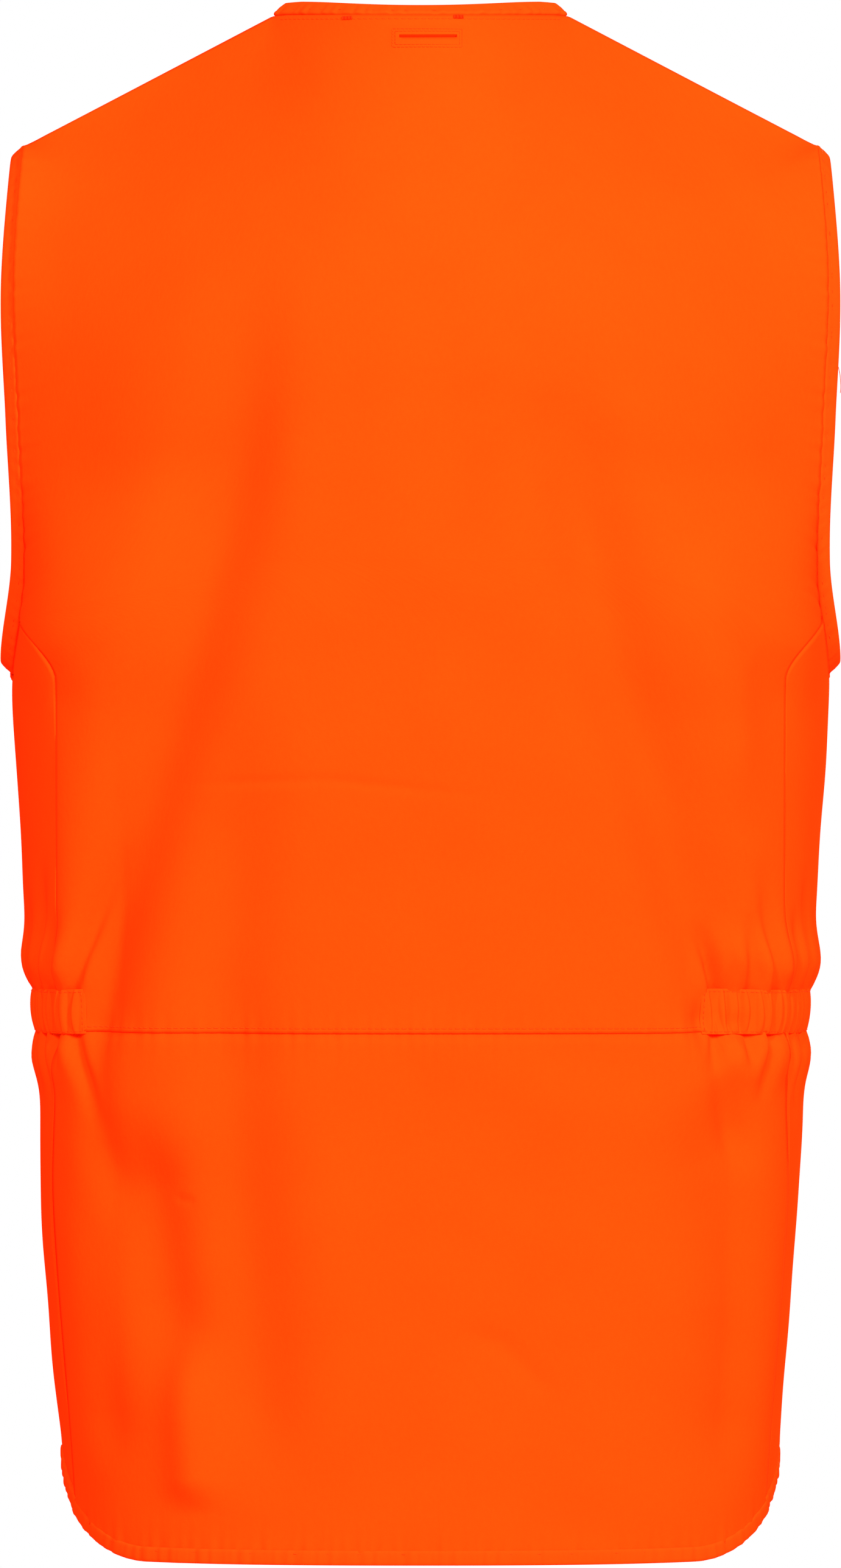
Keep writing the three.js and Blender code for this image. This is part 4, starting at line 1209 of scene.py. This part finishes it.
def from_zip(points):
    """Points from the zip's frame, whose Y is out of the cloth and Z up the front edge, to the vest's."""
    points = np.asarray(points, float)
    cosine, sine = math.cos(-ZIP_LEAN), math.sin(-ZIP_LEAN)
    y = points[..., 1] * cosine - points[..., 2] * sine
    z = points[..., 1] * sine + points[..., 2] * cosine
    return np.stack([points[..., 0], y + 136, z - FRONT_NECK_DROP], -1)


def blocks(name, boxes, bevel, place=from_zip):
    """One piece of bevelled blocks, each given by its lowest and highest corners in the zip's frame."""
    corners = np.array([(x, y, z) for x in (0, 1) for y in (0, 1) for z in (0, 1)], float)
    quads = np.array([(0, 1, 3, 2), (4, 6, 7, 5), (0, 4, 5, 1), (2, 3, 7, 6), (0, 2, 6, 4), (1, 5, 7, 3)])
    vertices, faces = [], []
    for low, high in boxes:
        low, high = np.array(low, float), np.array(high, float)
        faces.append(quads + 8 * len(faces))
        vertices.append(place(low + corners * (high - low)))
    piece = mesh_object(name, np.concatenate(vertices), [np.concatenate(faces)])
    rounded(piece, bevel)
    return piece


def rounded(piece, width, segments=2):
    """Bevels every edge of a piece and keeps the result."""
    modifier = piece.modifiers.new("rounded", "BEVEL")
    modifier.width = width * MM
    modifier.segments = segments
    modifier.limit_method = "ANGLE"
    depsgraph = bpy.context.evaluated_depsgraph_get()
    bpy.context.view_layer.update()
    mesh = bpy.data.meshes.new_from_object(piece.evaluated_get(depsgraph))
    piece.modifiers.clear()
    piece.data = mesh


def build_zip_side(side):
    word = SIDE_WORDS[side]
    row = TEETH_GAP / 2
    pitch = 2.9
    top, bottom = ZIP_TOP + FRONT_NECK_DROP, ZIP_BOTTOM + FRONT_NECK_DROP
    offset = pitch / 2 if side > 0 else 0
    boxes = []
    for level in np.arange(bottom + offset, top - 2, pitch):
        body = sorted((side * (row + 0.5), side * (row + TEETH_WIDTH)))
        head = sorted((side * 0.75, side * (row + 1.0)))
        for low_x, high_x, trim in ((*body, 0.5), (*head, 0.15)):
            boxes.append(((low_x, -TEETH_INSET - TEETH_THICKNESS + trim, level),
                          (high_x, -TEETH_INSET - trim * 0.4, level + 1.35)))
    teeth = blocks(f"{word}_zip_chain", boxes, 0.2)
    finish(teeth, "zip_teeth", f"{word}_front", [f"{word}_zip_teeth"])
    u, v = grid(10, 200)
    x = lerp(3.2, 16, u)
    points = from_zip(np.stack([x, -CLOTH - 0.4 + 0 * x, lerp(-1, FRONT_HEM + 8 + FRONT_NECK_DROP, v)], -1))
    tape = Panel(f"{word}_zip_ribbon", points[:, ::-1], 0.05 * ripple(v * 500, 14, 5), THIN_CLOTH, side=side)
    lay(tape, "zip_tape", f"{word}_front", [f"{word}_zip_tape"])
    edge = sorted((side * row, side * (row + TEETH_WIDTH)))
    stop = blocks(f"{word}_zip_stop", [((edge[0], -4.4, top + 0.4), (edge[1], -1.2, top + 3.4))], 0.5)
    finish(stop, "metal", f"{word}_front", [f"{word}_zip_top_stop"])


def build_zip_ends():
    top = ZIP_BOTTOM + FRONT_NECK_DROP - 0.4
    box = blocks("zip_retainer", [((-3.3, -4.8, top - 9), (-0.4, -0.8, top))], 0.5)
    finish(box, "zip_teeth", "left_front", ["zip_box"])
    centre = TEETH_GAP / 2 + TEETH_WIDTH / 2
    profile = [(0.3, -9), (0.9, -8.6), (1.2, -7.8), (1.2, -0.6), (0.9, 0)]
    pin = lathe("zip_insertion_pin", profile, from_zip((centre, -2.8, top)),
                from_zip((0, 0, 1)) - from_zip((0, 0, 0)), count=24)
    finish(pin, "zip_teeth", "right_front", ["zip_pin"])


def build_slider():
    front, back = -TEETH_INSET + 0.4, -TEETH_INSET - TEETH_THICKNESS - 0.4
    top = ZIP_TOP + FRONT_NECK_DROP - 3
    low = top - 14
    boxes = [
        ((-5, front, low), (0.5, front + 1.7, top)),
        ((-5, back - 1.7, low), (0.5, back, top)),
        ((-0.5, back - 1.7, low + 1.5), (0.5, front + 1.7, top)),
        ((-5.1, front + 1.2, low + 5), (-4.1, front + 5.4, low + 9)),
        ((-0.5, front + 1.2, low + 5), (0.5, front + 5.4, low + 9)),
    ]
    bar_y = front + 1.7 + 2 + 0.8
    bar_z = top - 7
    boxes.append(((-4.6, bar_y - 0.7, bar_z - 0.7), (0.0, bar_y + 0.7, bar_z + 0.7)))
    slider = blocks("zip_slider_body", boxes, 0.35)
    finish(slider, "metal", "zip_slider", ["zip_slider"])
    # The pull: an eye round the bar and a tab with a rounded end, a little narrower near its middle.
    turns = np.linspace(0, 2 * np.pi, 40, endpoint=False)
    eye = []
    for radius, x in ((1.2, -1.9), (2.0, -1.9), (2.0, 1.9), (1.2, 1.9)):
        eye.append(np.stack([np.full(40, x), radius * np.cos(turns), radius * np.sin(turns)], -1))
    eye = np.stack(eye, 1)
    index = np.arange(160).reshape(40, 4)
    beside = np.roll(index, -1, 1)
    quads = np.stack([index, beside, np.roll(beside, -1, 0), np.roll(index, -1, 0)], -1)
    rows, half = 36, 1.9
    v = np.linspace(0, 1, rows + 1)
    level = lerp(-1.6, -26, v)
    end = np.clip((level + 24.1) / -1.9, 0, 1)
    width = half * np.sqrt(1 - np.clip(end, 0, 0.995) ** 2) * (1 - 0.18 * np.exp(-(((v - 0.45) / 0.2) ** 2)))
    section = band_section(-1, 1, -0.7, 0.7, 16, 0.4)
    tab = np.stack([section[None, :, 0] * width[:, None], np.repeat(section[None, :, 1], rows + 1, 0),
                    np.repeat(level[:, None], 16, 1)], -1)
    tab_index = 160 + np.arange((rows + 1) * 16).reshape(rows + 1, 16)
    beside = np.roll(tab_index, -1, 1)
    tab_quads = np.stack([tab_index[:-1], tab_index[1:], beside[1:], beside[:-1]], -1)
    caps = np.stack([tab_index[0], tab_index[-1][::-1]])
    centre = np.array((-2.3, bar_y, bar_z))
    vertices = from_zip(np.concatenate([eye.reshape(-1, 3), tab.reshape(-1, 3)]) + centre)
    quads = np.concatenate([quads.reshape(-1, 4), tab_quads.reshape(-1, 4)])
    pull = mesh_object("zip_pull_tab", vertices, [quads, caps])
    finish(pull, "metal", "zip_pull", ["zip_pull"])


def build_facing(side):
    word = SIDE_WORDS[side]
    u, v = grid(14, 120)
    points = front_point(lerp(44, 8, u), lerp(-FRONT_NECK_DROP - 36, FRONT_HEM + 15, v))
    wave = 0.15 * ripple(points[..., 2], 60, 9)
    panel = Panel(f"{word}_zip_facing", points, -3.9 + wave, THIN_CLOTH, side=side)
    lay(panel, "lining", f"{word}_front", [f"{word}_front_facing"])


# ---- pockets ----

POCKETS = {
    "lower": dict(inner=18.0, outer=120.0, top=-566.0, height=136.0, depth=14.0, drop=46.0),
    "chest": dict(inner=26.0, outer=88.0, top=-268.0, height=92.0, depth=10.0, drop=34.0),
}
MOUTH_DROP = 9.0
RIM = 11.0


def pocket_frame(size):
    """The pocket's frame: its origin on the flap's fold line, along it, out of the cloth and up."""
    inner = front_point(size["inner"] - 3, size["top"])
    outer = front_point(size["outer"] + 3, size["top"])
    centre_x = (size["inner"] + size["outer"]) / 2
    middle = front_point(centre_x, size["top"])
    low = front_point(centre_x, size["top"] - size["height"])
    fold_line = unit(outer - inner)
    up = middle - low
    up = unit(up - fold_line * (up @ fold_line))
    out = np.cross(up, fold_line)
    chord = (inner + outer) / 2
    bulge = (middle - chord) @ out
    return chord + out * (bulge + 1.0), fold_line, out, up, float(np.linalg.norm(outer - inner))


def build_pocket(side, name):
    word = SIDE_WORDS[side]
    size = POCKETS[name]
    origin, fold_line, out, up, width = pocket_frame(size)
    body = f"{word}_front"
    # The pouch: a sewn-down edge, a rounded side and a slack face.
    u, v = grid(84, 104)
    level = size["top"] - MOUTH_DROP - v * (size["height"] - MOUTH_DROP)
    points = front_point(lerp(size["outer"], size["inner"], u), level)
    normal = outward(points)
    away = (points - origin) @ out
    reach = (size["depth"] - away) / (normal @ out)
    span = size["outer"] - size["inner"]
    from_side = np.minimum(u, 1 - u) * span
    from_bottom = (1 - v) * (size["height"] - MOUTH_DROP)
    inset = np.minimum(from_side, from_bottom)
    corner = RIM - np.hypot(np.clip(RIM - from_side, 0, None), np.clip(RIM - from_bottom, 0, None))
    rise = smooth(0.6, RIM, np.minimum(inset, np.clip(corner, 0, None)))
    slack = 0.7 * ripple(points[..., 0] + 0.5 * points[..., 2], 46, 7) * smooth(RIM, RIM + 20, inset)
    lift = lerp(CLOTH + 0.5, reach - 0.4 + slack * 0.5, rise)
    lift = lift + 0.25 * ripple(points[..., 2] + points[..., 0], 7, 6) * np.exp(-inset / 4)
    pouch = Panel(f"{word}_{name}_pouch", points, lift, 1.6, side=side)
    lay(pouch, "shell", body, [f"{word}_{name}_pocket"], fullness=1.05)
    edge_u, edge_v = 1.6 / span, 1.6 / (size["height"] - MOUTH_DROP)
    lines = [
        column_line(pouch, edge_u, 0.01, 1 - edge_v),
        column_line(pouch, 1 - edge_u, 0.01, 1 - edge_v),
        row_line(pouch, 1 - edge_v, edge_u, 1 - edge_u),
        row_line(pouch, 4 * edge_v, 4 * edge_u, 1 - 4 * edge_u),
    ]
    sew(f"{word}_{name}_pouch_stitches", lines, body)
    build_flap(side, name, size, (origin, fold_line, out, up, width))


# Half profiles of a snap's two halves: (radius, height) from the rim to the middle.
CAP_PROFILE = [(7.4, -0.2), (7.7, 0.3), (7.5, 0.9), (6.9, 1.35), (6.2, 1.3), (5.6, 1.0), (4.0, 1.25),
               (2.0, 1.5), (0.2, 1.55)]
STUD_PROFILE = [(5.0, -0.4), (5.2, 0.1), (4.8, 0.5), (3.2, 0.6), (2.2, 0.7), (1.9, 1.3), (2.3, 1.8),
                (1.6, 2.1), (0.2, 2.2)]


def build_flap(side, name, size, placing):
    word = SIDE_WORDS[side]
    origin, fold_line, out, up, width = placing
    reach = size["depth"] + 5.0
    bend = 4.0
    straight = reach - bend
    arc = bend * math.pi / 2
    hang = size["drop"] - bend
    total = straight + arc + hang
    u, v = grid(76, 60)
    run = v * total
    turn = np.clip((run - straight) / arc, 0, 1) * math.pi / 2
    away = np.minimum(run, straight) + bend * np.sin(turn)
    down = bend * (1 - np.cos(turn)) + np.clip(run - straight - arc, 0, None)
    corner = 9.0
    from_low = np.clip(corner - (total - run), 0, None) / corner
    narrow = corner * (1 - np.sqrt(1 - np.clip(from_low, 0, 1) ** 2))
    half = width / 2 - narrow
    x = lerp(half, -half, u)
    belly = 0.9 * np.sin(np.pi * u) * smooth(straight, total, run)
    tail = -0.8 * (1 - np.sin(np.pi * u)) * smooth(total - 12, total, run)
    away = away - 0.6 + belly * 0.5 + tail * 0.5
    points = origin + x[..., None] * fold_line + away[..., None] * out - down[..., None] * up
    relief = 0.3 * ripple(x, 38, 9) * smooth(straight, total, run)
    flap = Panel(f"{word}_{name}_flap_cloth", points, relief, 1.8, side=side)
    body = f"{word}_{name}_flap"
    lay(flap, "shell", body, [f"{word}_{name}_flap"])
    edge = 3.0
    low = 1 - edge / total
    start = (straight + arc) / total
    inset = edge / width
    sweep = np.linspace(inset, 1 - inset, 240)
    dip = np.interp(sweep, [inset, inset * 3, 1 - inset * 3, 1 - inset], [low - 0.03, low, low, low - 0.03])
    lines = [flap.at(sweep, dip), column_line(flap, inset, start * 0.9, low - 0.03, 120),
             column_line(flap, 1 - inset, start * 0.9, low - 0.03, 120),
             row_line(flap, start * 1.08, inset, 1 - inset, 240)]
    sew(f"{word}_{name}_flap_stitches", lines, body)
    cap_centre = origin + out * (reach + 0.15) + up * (14.0 - size["drop"])
    cap = lathe(f"{word}_{name}_cap", CAP_PROFILE, cap_centre, out, side)
    finish(cap, "metal", body, [f"{word}_{name}_snap_cap"])
    stud_centre = origin + out * (size["depth"] + 0.2) + up * (14.0 - size["drop"])
    stud = lathe(f"{word}_{name}_stud", STUD_PROFILE, stud_centre, out, side, 40)
    finish(stud, "metal", f"{word}_front", [f"{word}_{name}_snap_stud"])


# ---- a loose thread ----

def build_loose_thread():
    t = np.linspace(0, 1, 60)
    x = 203 + 5 * np.sin(2.4 * t) + 3 * t * t
    path = np.stack([x, -30 + 6 * t, -172 - 15 * t + 3 * np.sin(5 * t)], -1)
    forward = unit(np.gradient(path, axis=0))
    across = unit(np.cross(forward, (0.0, 1.0, 0.0)))
    section = band_section(-0.16, 0.16, -0.16, 0.16, 8, 1.0)
    piece = swept("loose_thread", path, across, np.cross(forward, across), section)
    finish(piece, "thread", "root")


# ---- floor, light and camera ----

def build_stage():
    size = 1.5
    corners = np.array([(-size, -size, 0), (size, -size, 0), (size, size, 0), (-size, size, 0)]) / MM
    floor = mesh_object("floor", corners + (0, 0, -1400), [np.array([[0, 1, 2, 3]])])
    material, tree, shader, coordinates = new_material("pale_floor", 0.8, 0.2)
    shade = noise(tree, coordinates.outputs["Object"], 3, 2)
    tree.links.new(tinted(tree, shade, (0.31, 0.31, 0.31), (0.33, 0.33, 0.33)), shader.inputs["Base Color"])
    floor.data.materials.append(material)


def add_light(name, place, target, size, power):
    data = bpy.data.lights.new(name, "AREA")
    data.shape = "RECTANGLE"
    data.size, data.size_y = size
    data.energy = power
    light = bpy.data.objects.new(name, data)
    light.location = place
    direction = np.array(target) - np.array(place)
    yaw = math.atan2(direction[1], direction[0])
    pitch = math.atan2(direction[2], math.hypot(direction[0], direction[1]))
    light.rotation_euler = (math.pi / 2 + pitch, 0, yaw - math.pi / 2)
    bpy.context.scene.collection.objects.link(light)


def build_lights():
    scene = bpy.context.scene
    scene.view_settings.view_transform = "Standard"
    world = bpy.data.worlds.new("studio")
    world.use_nodes = True
    background = world.node_tree.nodes["Background"]
    background.inputs["Color"].default_value = (1, 1, 1, 1)
    background.inputs["Strength"].default_value = 1.0
    scene.world = world
    middle = (0, 0, -0.38)
    add_light("key_softbox", (1.9, -3.0, 1.1), middle, (0.8, 1.2), 500)
    add_light("fill_softbox", (-0.8, -3.2, 1.6), middle, (0.7, 1.2), 375)
    add_light("front_softbox", (1.1, 3.0, 0.9), middle, (0.9, 1.3), 420)


def build_camera():
    data = bpy.data.cameras.new("camera")
    data.lens = 275
    data.sensor_width = 36
    camera = bpy.data.objects.new("camera", data)
    camera.location = (0, -6, -0.385)
    camera.rotation_euler = (math.pi / 2, 0, 0)
    bpy.context.scene.collection.objects.link(camera)
    bpy.context.scene.camera = camera


build_upper_back()
build_lower_back()
build_liner()
build_slot_facing()
build_back_neck_binding()
build_back_hem()
build_neck_trim()
build_zip_ends()
build_slider()
build_loose_thread()
for side in (1, -1):
    build_front(side)
    build_armhole_binding(side)
    build_front_neck_binding(side)
    build_front_hem(side)
    build_casing(side)
    build_zip_side(side)
    build_facing(side)
    for pocket in POCKETS:
        build_pocket(side, pocket)
build_stage()
build_lights()
build_camera()
